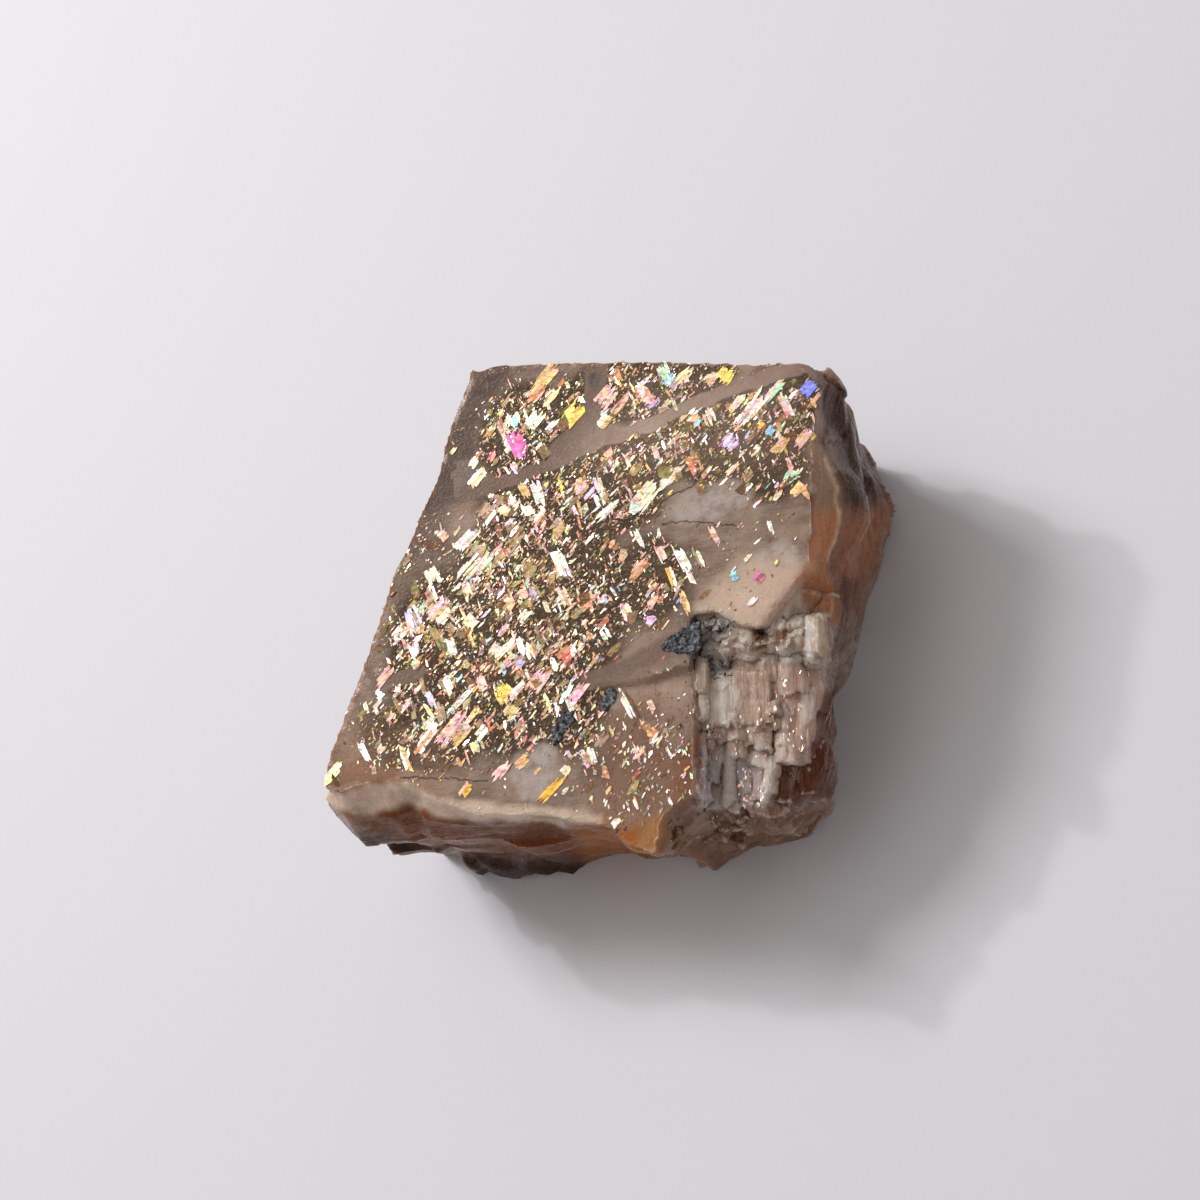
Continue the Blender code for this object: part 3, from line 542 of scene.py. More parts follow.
def milk_at(u, v):
    """How milky the feldspar is at a place on the face, from 0 to 1."""
    wander = 0.3 * wave(u, v, 1.1, 11.0)
    milk = 0.0
    for mid_u, mid_v, reach_u, reach_v, turn in MILKY:
        cos, sin = heading(turn)
        along = (u - mid_u) * cos + (v - mid_v) * sin
        across = (v - mid_v) * cos - (u - mid_u) * sin
        away = math.hypot(along / reach_u, across / reach_v) + wander
        milk = max(milk, 1.0 - smooth_step(0.75, 1.1, away))
    return milk


def corner_at(place):
    """1 in the broken corner, 0 elsewhere."""
    return smooth_step(5.8, 7.2, place.x) * smooth_step(1.0, -1.4, place.y)


# ---- Stone -----------------------------------------------------------------------------------


def facet_at(place, size, stepped=0.0):
    """Height on flat facets that lean at random, or where stepped stand out by a step instead,
    and a number between 0 and 1 that is the facet's own."""
    bend = (0.1 if stepped else 0.25) * noise.noise(place / 1.9)
    spot = Vector((place.x / size[0] + bend, place.y / size[1] - bend, place.z / size[2] + bend))
    metric = "CHEBYCHEV" if stepped else "DISTANCE"
    middle = noise.voronoi(spot, distance_metric=metric)[1][0]
    lean = Vector([noise.noise(middle * 3.7 + Vector((shift, 0.0, 0.0))) for shift in (0, 19, 37)])
    off = spot - middle
    height = off.dot(lean) * (2.0 - 1.2 * stepped) + lean.x * (0.5 + 0.9 * stepped)
    return height, 0.5 + 0.5 * math.sin(40.0 * lean.y)


def ledge_at(place):
    """How far the broken edge of a cleavage layer stands out at a place on a side."""
    layer = place.z / 2.1 + 0.8 * noise.noise(Vector((place.x / 4.5, place.y / 4.5, 31.0)))
    number = math.floor(layer)
    out, before = (noise.noise(Vector((place.x / 3.8, place.y / 3.8, step * 7.3 + 0.5)))
                   for step in (number, number - 1))
    return before + (out - before) * smooth_step(0.0, 0.1, layer - number)


def surface_relief(place, normal, _, calm, looks):
    """How far the freshly broken surface stands out from the solid, and its facet's number."""
    face = smooth_step(0.93, 0.99, normal.z) * smooth_step(-0.2, -0.08, place.z)
    side = 1.0 - normal.z * normal.z
    corner = corner_at(place)
    facet, number = facet_at(place, (5.4, 5.4, 3.4), 0.5)
    chip, fine_number = facet_at(place + UPRIGHT * 50.0, (2.0, 2.3, 1.3), 0.3)
    grain = noise.fractal(place / 0.5, 0.9, 2.0, 2)
    rough = looks.facet_relief * facet * (0.3 + 0.7 * side) * (1.0 - 0.6 * corner)
    rough += looks.chip_relief * chip * (0.5 + 0.5 * side)
    rough += looks.ledge_relief * ledge_at(place) * side * (1.0 - 0.7 * corner)
    rough += looks.grain_relief * grain * (0.4 + 0.6 * corner)
    rough *= (0.12 + 0.88 * smooth_step(-0.1, -1.3, place.z)) * (1.0 - face) * (1.0 - calm)
    chipped = corner * side * smooth_step(-0.1, -0.6, place.z) * (1.0 - calm)
    height = rough / MM + 0.3 * chipped * noise.noise(place / 0.8)
    height += 0.006 * noise.noise(place / 2.0) * face
    height -= 0.1 * corner * smooth_step(-0.3, -0.8, place.z)
    return height, (0.55 * number + 0.45 * fine_number) * (1.0 - 0.7 * calm)


def placed(name, data):
    """A new object in the scene."""
    obj = bpy.data.objects.new(name, data)
    bpy.context.scene.collection.objects.link(obj)
    return obj


def mesh_of(bm, name):
    mesh = bpy.data.meshes.new(name)
    bm.to_mesh(mesh)
    bm.free()
    return mesh


def all_of(bm):
    return bm.verts[:] + bm.edges[:] + bm.faces[:]


def remeshed(mesh, size):
    """The same solid in even small faces."""
    carrier = placed("carrier", mesh)
    remesh = carrier.modifiers.new("remesh", "REMESH")
    remesh.mode = "VOXEL"
    remesh.voxel_size = size
    graph = bpy.context.evaluated_depsgraph_get()
    fine = bpy.data.meshes.new_from_object(carrier.evaluated_get(graph))
    bpy.data.objects.remove(carrier)
    return fine


def level_solid():
    """The CAD node's mesh, merged and lying level in millimetres."""
    bm = bmesh.new()
    bm.from_mesh(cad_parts["sunstone"].data)
    bmesh.ops.remove_doubles(bm, verts=bm.verts, dist=MERGE)
    bmesh.ops.transform(bm, matrix=LIE.inverted(), verts=bm.verts)
    return mesh_of(bm, "level_solid")


def shaped(mesh, relief, looks, fused=False):
    """Moves a fine level mesh out by its relief, and marks it with what its material reads."""
    places = [vert.co.copy() for vert in mesh.vertices]
    normals = [normal.vector.copy() for normal in mesh.vertex_normals]
    floor = LIE.inverted() @ Vector((0.0, 0.0, 0.0))
    down = (LIE.inverted().to_3x3() @ UPRIGHT).normalized()
    marks = {name: [] for name in ("crowd", "milk", "lane", "corner", "face", "facet")}
    zones = []
    for vert, place, normal in zip(mesh.vertices, places, normals):
        clear = smooth_step(0.15, 0.6, (place - floor).dot(down))
        zone, lumps, calm = zone_at(place, normal)
        zones.extend(zone)
        height, facet = relief(place, normal, lumps, calm, looks)
        vert.co = place + normal * height * clear
        face = smooth_step(0.9, 0.98, normal.z) * smooth_step(-1.2, -0.3, place.z)
        if all(low < part < high for part, (low, high) in zip(place, SLOPE)):
            face = max(face, smooth_step(-0.95, -0.7, place.z))
        face = 0.0 if fused else face
        marks["facet"].append(facet)
        marks["face"].append(face)
        marks["corner"].append(1.0 if fused else corner_at(place))
        for name, share_at in (("crowd", crowd_at), ("milk", milk_at), ("lane", lane_at)):
            marks[name].append(share_at(place.x, place.y) if face else 0.0)
    for name, values in marks.items():
        mesh.attributes.new(name, "FLOAT", "POINT").data.foreach_set("value", values)
    mesh.attributes.new("zone", "FLOAT_COLOR", "POINT").data.foreach_set("color", zones)
    mesh.shade_smooth()
    mesh.set_sharp_from_angle(angle=math.radians(CRISP_ANGLE))
    return mesh


def corner_block():
    """The part of the solid round its broken corner, cut out of it."""
    bm = bmesh.new()
    bm.from_mesh(level_solid())
    sides = (((CRUST_LEFT, 0.0, 0.0), (-1.0, 0.0, 0.0)), ((0.0, CRUST_TOP, 0.0), (0.0, 1.0, 0.0)),
             ((0.0, 0.0, CRUST_DEPTH), (0.0, 0.0, -1.0)))
    for place, way in sides:
        bmesh.ops.bisect_plane(bm, geom=all_of(bm), plane_co=place, plane_no=way,
                               clear_outer=True)
        bmesh.ops.holes_fill(bm, edges=[edge for edge in bm.edges if edge.is_boundary])
    bmesh.ops.triangulate(bm, faces=bm.faces)
    return bm


def crust_relief(place, normal, lumps, calm, looks):
    """Stepped prisms, lumps and fine grain on the crust of the corner."""
    clear = smooth_step(0.1, 0.4, place.x - CRUST_LEFT)
    clear *= smooth_step(0.05, 0.3, CRUST_TOP - place.y)
    clear *= smooth_step(-0.2, -0.8, place.z)
    prism, number = facet_at(place, (0.74, 3.4, 1.4))
    fine, fine_number = facet_at(place + UPRIGHT * 30.0, (0.3, 1.6, 0.6))
    grain = noise.fractal(place / 0.25, 0.9, 2.0, 3)
    lump, _ = facet_at(place, (0.62, 0.62, 0.62))
    granular = min(1.0, 1.8 * max(0.0, lumps))
    rough = (0.15 * prism + 0.06 * fine + 0.12 * (number - 0.5)) * (1.0 - granular)
    rough = (rough + 0.008 * grain) * (1.0 - calm) + lumps * 0.5 * lump + 0.03 * grain * granular
    ragged = noise.fractal(Vector((place.x / 0.9, 5.0, place.z / 2.5)), 0.9, 2.0, 2)
    rough += 0.5 * ragged * smooth_step(0.3, 0.8, -normal.y)
    height = -0.16 + (0.26 + rough * looks.roughness) * clear
    return height, 0.5 * number + 0.5 * fine_number


def finished_piece(name, mesh, material, solid=None):
    """Tips a level piece into the resting lie and gives it to the frame."""
    mesh.transform(LIE)
    mesh.name = name
    mesh.materials.clear()
    mesh.materials.append(material)
    piece = placed(name, mesh)
    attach(piece, "root")
    if solid:
        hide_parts(solid)


def stone_tree(*names):
    """The surface of pieces of the stone, level, to set others down on."""
    bm = bmesh.new()
    for name in names or ("feldspar_body",):
        bm.from_mesh(bpy.data.objects[name].data)
    bmesh.ops.transform(bm, matrix=LIE.inverted(), verts=bm.verts)
    tree = BVHTree.FromBMesh(bm)
    bm.free()
    return tree


# ---- Flakes ----------------------------------------------------------------------------------


def raise_slab(bm, height):
    """Makes a flat face into a closed slab."""
    raised = bmesh.ops.extrude_face_region(bm, geom=all_of(bm))
    lifted = [part for part in raised["geom"] if isinstance(part, bmesh.types.BMVert)]
    bmesh.ops.translate(bm, vec=(0.0, 0.0, height), verts=lifted)


def plate(rng, corners, skew, ragged):
    """A thin closed plate of unit size: a cut-off lath, a slanted block or a ragged chip."""
    bm = bmesh.new()
    turn = Matrix.Rotation(math.pi / corners, 4, "Z")
    bmesh.ops.create_circle(bm, cap_ends=True, segments=corners, radius=0.5, matrix=turn)
    for vert in bm.verts:
        reach = max(abs(vert.co.x), abs(vert.co.y))
        vert.co *= 0.5 / reach
        vert.co += Vector((rng.uniform(-ragged, ragged), rng.uniform(-ragged, ragged), 0.0))
        vert.co.x += skew * vert.co.y
    raise_slab(bm, 1.0)
    bmesh.ops.recalc_face_normals(bm, faces=bm.faces)
    mesh = mesh_of(bm, "plate")
    mesh.attributes.new("tint", "FLOAT_COLOR", "POINT")
    return mesh


def plate_shapes(rng, corners, ragged):
    return [plate(rng, rng.choice(corners), rng.uniform(-0.5, 0.6), ragged) for _ in range(12)]


def picked(rng, mix):
    return rng.choices(list(mix), weights=list(mix.values()))[0]


def tinted(rng, name, spread):
    """A flake's colour, a little lighter or darker than its name's."""
    light = 1.0 + rng.uniform(-spread, spread * 0.4)
    return [min(1.0, part * light) for part in TINTS[name]] + [1.0]


def landing(tree, u, v):
    """Where a place on the face lies on the surface, and which way the surface faces there."""
    return tree.ray_cast(Vector((u, v, LANDING_HEIGHT)), DOWN)[:2]


def deepest_at(u, v):
    """How deep the face may lie at a place where it shows flakes."""
    return SLAB_DEPTH if SLAB_LEFT < u < SLAB_RIGHT and v < SLAB_TOP else FACE_DEPTH


def on_face(tree, u, v, turn, length, deepest):
    """True where both ends of a flake lie on the face."""
    cos, sin = heading(turn)
    for end in (-0.5, 0.5):
        place, _ = landing(tree, u + cos * length * end, v + sin * length * end)
        if place is None or place.z < deepest:
            return False
    return True


def flake_lie(rng, place, normal, turn, size, tilt):
    """Sets a unit plate down: turned along the lattice, lightly tilted and half sunk."""
    length, width, thickness = size
    lean = Vector((rng.gauss(0.0, tilt), rng.gauss(0.0, tilt), 1.0)).normalized()
    upright = (normal * 0.35 + lean * 0.65 if normal.z < 0.985 else lean).normalized()
    settle = UPRIGHT.rotation_difference(upright).to_matrix().to_4x4()
    spin = Matrix.Rotation(math.radians(turn), 4, "Z")
    scale = Matrix.Diagonal((length, width, thickness, 1.0))
    sink = place + UPRIGHT * (rng.uniform(-0.6, -0.1) * thickness)
    return Matrix.Translation(sink) @ settle @ spin @ scale


def lay(bm, shape, lie, tint=None):
    """Adds one copy of a shape to the heap."""
    copy = shape.copy()
    copy.transform(lie)
    if tint:
        copy.attributes["tint"].data.foreach_set("color", tint * len(copy.vertices))
    bm.from_mesh(copy)
    bpy.data.meshes.remove(copy)


def scattered(rng, tree, count, sizes, mix, shapes, looks, height):
    """A heap of flakes strewn over the face as thickly as they crowd at each place."""
    bm = bmesh.new()
    laid = 0
    for _ in range(count * TRIES):
        if laid == count:
            break
        u, v = (rng.uniform(*reach) for reach in STREWN)
        if rng.random() > crowd_at(u, v) * patch_at(u, v):
            continue
        place, normal = landing(tree, u, v)
        if place is None or normal.z < 0.9 or place.z < deepest_at(u, v):
            continue
        length, width = sizes(rng)
        turn = rng.gauss(MAIN_TURN if rng.random() < MAIN_SHARE else CROSS_TURN, 5.0)
        if length > SHORT_FLAKE and not on_face(tree, u, v, turn, length, deepest_at(u, v)):
            continue
        size = (length, width, looks.flake_thickness / MM * height)
        lie = flake_lie(rng, place, normal, turn, size, math.radians(looks.flake_tilt))
        lay(bm, rng.choice(shapes), lie, tinted(rng, picked(rng, mix), 0.35))
        laid += 1
    return bm


def lay_strips(bm, rng, tree, shapes, row, turn, name, looks):
    """Lays a large flake as narrow strips side by side, so its ends are stepped."""
    u, v, long, wide = row
    cos, sin = heading(turn)
    strips = max(2, round(wide / looks.strip_width * MM))
    for number in range(strips):
        off = ((number + 0.5) / strips - 0.5) * wide
        slip = rng.uniform(-0.1, 0.1) * long
        place, normal = landing(tree, u + cos * slip - sin * off, v + sin * slip + cos * off)
        size = (long * rng.uniform(0.68, 1.0), wide / strips * rng.uniform(1.05, 1.6),
                looks.flake_thickness / MM * rng.uniform(1.1, 1.8))
        lie = flake_lie(rng, place, normal, turn + rng.gauss(0.0, 1.5), size, 0.025)
        shade = name if rng.random() < 0.88 else picked(rng, LATH_MIX)
        lay(bm, rng.choice(shapes), lie, tinted(rng, shade, 0.22))


def speck_size(rng):
    length = min(0.34, 0.085 * math.exp(abs(rng.gauss(0.0, 0.55))))
    return length, min(0.1, length * rng.uniform(0.3, 0.8))


def lath_size(rng):
    length = min(1.6, 0.36 * math.exp(rng.gauss(0.0, 0.5)))
    return length, min(0.34, max(0.06, length * rng.uniform(0.13, 0.44)))


def ghost_size(rng):
    length = min(1.6, 0.6 * math.exp(rng.gauss(0.0, 0.4)))
    return length, length * rng.uniform(0.3, 0.7)


# ---- Broken corner and magnetite ---------------------------------------------------------------


def met_by_sight(tree, across, up):
    """Where the camera's line to a place across and up meets the stone."""
    return tree.ray_cast(*sight_line(across, up))[0]


def on_level(across, up, height):
    """Where the camera's line to a place across and up comes down to this height."""
    start, way = sight_line(across, up)
    return start + way * ((height - start.z) / way.z)


def splinter(rng):
    """A unit splinter along Y with long facets and slanting ends."""
    bm = bmesh.new()
    bmesh.ops.create_cone(bm, cap_ends=True, segments=rng.choice((4, 5, 6)), radius1=0.5,
                          radius2=rng.uniform(0.25, 0.48), depth=1.0,
                          matrix=Matrix.Rotation(math.pi / 2.0, 4, "X"))
    for cut in (-0.22, 0.18):
        bmesh.ops.bisect_plane(bm, geom=all_of(bm), plane_co=(0.0, cut, 0.0),
                               plane_no=(0.0, 1.0, 0.0))
    slant = rng.uniform(-0.3, 0.3)
    for vert in bm.verts:
        if abs(vert.co.y) > 0.45:
            vert.co.y += slant * vert.co.x
        vert.co.x += rng.uniform(-0.07, 0.07)
        vert.co.z += rng.uniform(-0.07, 0.07)
    bmesh.ops.recalc_face_normals(bm, faces=bm.faces)
    return mesh_of(bm, "splinter")


def grain(rng):
    """A unit grain with a few broken faces."""
    bm = bmesh.new()
    bmesh.ops.create_icosphere(bm, subdivisions=1, radius=0.5)
    for vert in bm.verts:
        vert.co *= rng.uniform(0.72, 1.15)
    return mesh_of(bm, "grain")


def lie_between(start, end, upright, width, height):
    """Stretches a unit splinter from one place to another."""
    along = end - start
    side = along.cross(upright).normalized()
    upward = side.cross(along).normalized()
    lie = Matrix((side * width, along, upward * height)).transposed().to_4x4()
    lie.translation = (start + end) / 2.0
    return lie


def lay_bundle(bm, rng, tree, shapes, bundle):
    """Lays splinters side by side between the ends of the first one and of the last one."""
    count, width, first, last = bundle
    for number in range(count * 2):
        share = (number / 2.0 + rng.uniform(0.0, 0.8)) / count
        head = Vector(first[0]).lerp(Vector(last[0]), share)
        foot = Vector(first[1]).lerp(Vector(last[1]), share)
        low = rng.uniform(-0.05, 0.06) + rng.uniform(0.0, 0.45) * (number % 2)
        high = 1.0 + rng.uniform(-0.14, 0.1) - rng.uniform(0.0, 0.4) * ((number + 1) % 2)
        start, end = head.lerp(foot, low), head.lerp(foot, high)
        middle = met_by_sight(tree, *((start + end) / 2.0))
        if middle is None:
            continue
        ends = [on_level(*place, middle.z + rng.uniform(-0.22, 0.1)) for place in (start, end)]
        across = width * rng.uniform(0.45, 1.35)
        roll = UPRIGHT + Vector((rng.uniform(-0.8, 0.8), 0.0, 0.0))
        lie = lie_between(*ends, roll, across, across * rng.uniform(0.6, 1.1))
        lay(bm, rng.choice(shapes), lie)


def lay_facet(bm, tree, outline, proud):
    """Lays a slab over an outline, standing out of the stone this far."""
    middle = sum((Vector(place) for place in outline), Vector((0.0, 0.0))) / len(outline)
    hit = met_by_sight(tree, *middle)
    facet = bmesh.new()
    facet.faces.new([facet.verts.new(on_level(*place, hit.z + proud)) for place in outline])
    raise_slab(facet, -proud - 0.25)
    bmesh.ops.subdivide_edges(facet, edges=facet.edges, cuts=3, use_grid_fill=True)
    for vert in facet.verts:
        vert.co += 0.13 * Vector((noise.noise(vert.co * 2.1), noise.noise(vert.co * 2.3), 0.0))
    bmesh.ops.recalc_face_normals(facet, faces=facet.faces)
    shape = mesh_of(facet, "facet")
    bm.from_mesh(shape)
    bpy.data.meshes.remove(shape)


def inside_place(rng, outline):
    """A place picked evenly inside an outline."""
    across, up = zip(*outline)
    while True:
        place = rng.uniform(min(across), max(across)), rng.uniform(min(up), max(up))
        if inside(*place, outline):
            return place


def lay_lumps(bm, rng, tree, shapes):
    """Strews lumps over their beds, a little sunk."""
    for count, least, most, outline in LUMP_BEDS:
        for _ in range(count):
            place = met_by_sight(tree, *inside_place(rng, outline))
            size = rng.uniform(least, most)
            place -= UPRIGHT * size * LUMP_SUNK
            lie = grain_lie(rng, place, size, rng.uniform(0.5, 0.9))
            lay(bm, rng.choice(shapes), lie)


def lay_scales(bm, rng, tree, shapes):
    """Sets small glinting scales on the crust, lengthways along its prisms."""
    for count, least, most, outline in SCALE_BEDS:
        for _ in range(count):
            place = met_by_sight(tree, *inside_place(rng, outline))
            long = rng.uniform(least, most)
            size = (long, long * rng.uniform(0.25, 0.6), 0.03)
            lie = flake_lie(rng, place, UPRIGHT, 90.0 + rng.gauss(0.0, 14.0), size, 0.14)
            lay(bm, rng.choice(shapes), lie, tinted(rng, picked(rng, SCALE_MIX), 0.3))


def grain_lie(rng, place, size, flat):
    turn = Matrix.Rotation(rng.uniform(0.0, math.tau), 4, "Z")
    tip = Matrix.Rotation(rng.uniform(-0.6, 0.6), 4, rng.choice("XY"))
    shape = Matrix.Diagonal((size, size * rng.uniform(0.6, 1.0), size * flat, 1.0))
    return Matrix.Translation(place) @ tip @ turn @ shape


# ---- Materials -------------------------------------------------------------------------------


class Shade:
    """One material, with short ways to add its nodes."""

    def __init__(self, name, level=True):
        self.material = bpy.data.materials.new(name)
        self.material.use_nodes = True
        self.tree = self.material.node_tree
        self.shader = self.tree.nodes["Principled BSDF"]
        self.place = self.node("TexCoord").outputs["Object"]
        if level:  # the place on the level stone, in millimetres
            values = {"Vector": self.place, "Location": LIE.to_translation(),
                      "Rotation": LIE.to_euler(), "Scale": LIE.to_scale()}
            self.place = self.node("Mapping", values, vector_type="TEXTURE").outputs[0]

    def put(self, socket, value):
        """Joins a socket up, or sets it."""
        if isinstance(value, bpy.types.NodeSocket):
            self.tree.links.new(value, socket)
        elif value is not None:
            socket.default_value = (*value, 1.0) if socket.type == "RGBA" else value

    def node(self, kind, values=(), **settings):
        made = self.tree.nodes.new("ShaderNode" + kind)
        for name, value in settings.items():
            setattr(made, name, value)
        for name, value in dict(values).items():
            self.put(made.inputs[name], value)
        return made

    def math(self, operation, first, second, **settings):
        values = {0: first, 1: second}
        return self.node("Math", values, operation=operation, **settings).outputs[0]

    def times(self, first, second):
        return self.math("MULTIPLY", first, second)

    def plus(self, first, second):
        return self.math("ADD", first, second)

    def vector(self, operation, first, second):
        """The vector that comes of two, or the number that their product or distance is."""
        made = self.node("VectorMath", {0: first, 1: second}, operation=operation)
        return made.outputs[1 if operation in ("DOT_PRODUCT", "DISTANCE") else 0]

    def share(self, value, low, high, start=0.0, end=1.0):
        """Start below low, end above high, and a smooth change between them."""
        values = {"Value": value, 1: low, 2: high, 3: start, 4: end}
        return self.node("MapRange", values, interpolation_type="SMOOTHSTEP").outputs[0]

    def mix(self, share, first, second, blend="MIX"):
        return self.node("Mix", {0: share, 6: first, 7: second}, data_type="RGBA",
                         blend_type=blend, clamp_result=False).outputs[2]

    def stretched(self, scale, turn=0.0):
        values = {"Vector": self.place, "Rotation": (0.0, 0.0, math.radians(turn)), "Scale": scale}
        return self.node("Mapping", values).outputs[0]

    def noise(self, scale, detail, roughness=0.6, turn=0.0, output="Fac"):
        """Noise this fine, evenly or along each axis."""
        place = self.place
        if isinstance(scale, tuple):
            place, scale = self.stretched(scale, turn), 1.0
        values = {"Vector": place, "Scale": scale, "Detail": detail, "Roughness": roughness}
        return self.node("TexNoise", values).outputs[output]

    def mark(self, name, output="Fac"):
        return self.node("Attribute", attribute_name=name).outputs[output]

    def bump(self, height, distance, strength=1.0, normal=None):
        values = {"Height": height, "Distance": distance, "Strength": strength, "Normal": normal}
        return self.node("Bump", values).outputs[0]

    def leaning(self, scale):
        """Height on small flat facets that each lean their own way, this fine along each axis."""
        place = self.stretched(scale)
        cell = self.node("TexVoronoi", {"Vector": place, "Scale": 1.0}).outputs
        lean = self.vector("SUBTRACT", cell["Color"], HALVES)
        return self.vector("DOT_PRODUCT", self.vector("SUBTRACT", place, cell["Position"]), lean)

    def crack_share(self, place, line, half_width):
        """1 on a crack of straight runs in the face, 0 beside it."""
        nearest = None
        for (u0, v0), (u1, v1) in zip(line, line[1:]):
            run = Vector((u1 - u0, v1 - v0, 0.0))
            off = self.vector("SUBTRACT", place, (u0, v0, 0.0))
            part = self.math("DIVIDE", self.vector("DOT_PRODUCT", off, run), run.length_squared,
                             use_clamp=True)
            foot = self.node("VectorMath", {0: run, 3: part}, operation="SCALE").outputs[0]
            away = self.vector("DISTANCE", off, foot)
            nearest = away if nearest is None else self.math("MINIMUM", nearest, away)
        return self.share(nearest, half_width * 0.5, half_width * 1.5, 1.0, 0.0)

    def finish(self, **inputs):
        for name, value in inputs.items():
            self.put(self.shader.inputs[name.replace("_", " ")], value)
        return self.material


def feldspar(name, looks, gloss, clearness):
    """Translucent feldspar: clear and pinkish on the face, warm brown and streaky on the sides."""
    made = Shade(name)
    mix, share, times, plus = made.mix, made.share, made.times, made.plus
    face, corner, facet = made.mark("face"), made.mark("corner"), made.mark("facet")
    crowd, milk, lane = made.mark("crowd"), made.mark("milk"), made.mark("lane")
    zone, zoned = made.mark("zone", "Color"), made.mark("zone", "Alpha")

    # Sides: streaks parallel to the face, with rusty and pale ones among them.
    streaks = made.noise((0.14, 0.14, 1.1), 4)
    side = mix(share(streaks, 0.36, 0.64), looks.side_dark, looks.side_mid)
    blotches = made.noise(0.32, 3, 0.55)
    side = mix(share(blotches, 0.45, 0.75, 0.0, 0.85), side, looks.side_pale)
    rust = made.noise((0.65, 0.65, 1.82), 3)
    side = mix(share(rust, 0.56, 0.72, 0.0, 0.5), side, looks.rust)
    side = mix(share(facet, 0.5, 0.9, 0.0, 0.3), side, looks.side_pale)
    side = mix(share(facet, 0.1, 0.45, 0.35, 0.0), side, looks.side_dark)
    threads = made.noise((0.35, 0.35, 5.0), 3)
    side = mix(share(threads, 0.35, 0.6, 0.2, 0.0), side, (0.62, 0.48, 0.40), "MULTIPLY")

    # The broken corner: paler, with fibres along the splinters.
    fibres = made.noise((4.2, 0.4, 1.5), 4, 0.7)
    broken = mix(share(fibres, 0.35, 0.68), looks.corner_dark, looks.corner_pale)
    side = mix(times(corner, 0.85), side, broken)

    # Face: clear feldspar over a dark ground where the flakes crowd.
    haze = made.noise(0.33, 4, 0.62)
    clear = mix(share(haze, 0.35, 0.66), looks.clear_dark, looks.clear_pale)
    veils = made.noise((0.5, 1.6, 1.0), 3, turn=-MAIN_TURN)
    clear = mix(share(veils, 0.4, 0.7, 0.0, 0.3), clear, looks.milk)
    needles = made.noise((0.9, 8.0, 1.0), 3, turn=-MAIN_TURN)
    clear = mix(share(needles, 0.55, 0.7, 0.0, 0.35), clear, looks.milk)
    clear = mix(times(lane, 0.85), clear, looks.lane)
    under = mix(share(made.noise(2.6, 3, 0.7), 0.38, 0.66), looks.ground_dark, looks.ground_mid)
    top = mix(share(crowd, 0.05, 0.5, 0.0, 0.94), clear, under)
    cloud = made.noise(1.6, 3, 0.65)
    top = mix(times(milk, share(cloud, 0.3, 0.62, 0.35, 1.0)), top, looks.milk)
    colour = mix(face, side, top)

    # Places with a tint of their own, some of them painted shade, glow and reflection, streaked
    # the way that they break.
    streaky = mix(times(face, 0.55), fibres, haze)
    own = mix(share(streaky, 0.32, 0.6, 0.4, 0.0), zone, (0.62, 0.56, 0.53), "MULTIPLY")
    own = mix(share(facet, 0.1, 0.5, 0.3, 0.0), own, (0.66, 0.60, 0.57), "MULTIPLY")
    own = mix(share(facet, 0.6, 0.95, 0.0, 0.25), own, looks.edge)
    colour = mix(times(zoned, share(crowd, 0.05, 0.4, 1.0, 0.3)), colour, own)

    # Fine crystals beneath the surface: dull slanted specks.
    for turn, fine in ((MAIN_TURN, 1.2), (CROSS_TURN, 1.4)):
        slant = made.stretched((1.6 * fine, 5.5 * fine, 1.6), -turn)
        speck = made.node("TexVoronoi", {"Vector": slant, "Scale": 1.0}).outputs
        bright = made.node("SeparateColor", {"Color": speck["Color"]}).outputs[0]
        shown = times(share(speck["Distance"], 0.2, 0.28, 1.0, 0.0), share(bright, 0.5, 0.55))
        shown = times(times(shown, share(crowd, 0.05, 0.5, 0.12, 0.6)), face)
        colour = mix(shown, colour, (0.30, 0.22, 0.14))

    # Pale ridges, partly the crushed crystal's own paleness and partly a painted glow and
    # highlight; painted shade in the hollows.
    ridge = made.node("NewGeometry").outputs["Pointiness"]
    # Painted glow and highlight: ridges found by Pointiness are lightened, more in the corner,
    # along with the crushed crystal's own paleness.
    pale_edge_and_glow = share(plus(ridge, times(corner, 0.012)), 0.53, 0.60, 0.0, 0.75)
    colour = mix(times(pale_edge_and_glow, share(corner, 0.0, 1.0, 0.45, 1.0)), colour, looks.edge)
    # Painted shade: hollows found by Pointiness are darkened, less so in the corner.
    hollow_shade = times(share(ridge, 0.47, 0.40, 0.0, 0.22), share(corner, 0.0, 1.0, 1.0, 0.5))
    colour = mix(hollow_shade, colour, looks.hollow_shade)

    # Fine mottling and bruises.
    mottle = made.noise(6.5, 3, 0.7)
    colour = mix(share(mottle, 0.34, 0.5, 0.35, 0.0), colour, (0.66, 0.58, 0.54), "MULTIPLY")
    colour = mix(share(mottle, 0.58, 0.72, 0.0, 0.22), colour, looks.edge)

    # Cracks, wavering a little.
    wobble = made.vector("SUBTRACT", made.noise(1.7, 2, 0.5, output="Color"), HALVES)
    flat = made.vector("MULTIPLY", made.place, (1.0, 1.0, 0.0))
    wavering = made.vector("ADD", flat, made.vector("MULTIPLY", wobble, (0.5, 0.5, 0.0)))
    crack = 0.0
    for line in CRACKS:
        found = made.crack_share(wavering, line, looks.crack_width / MM / 2.0)
        crack = made.math("MAXIMUM", crack, found)
    colour = mix(times(times(crack, face), 0.8), colour, (0.03, 0.022, 0.018))

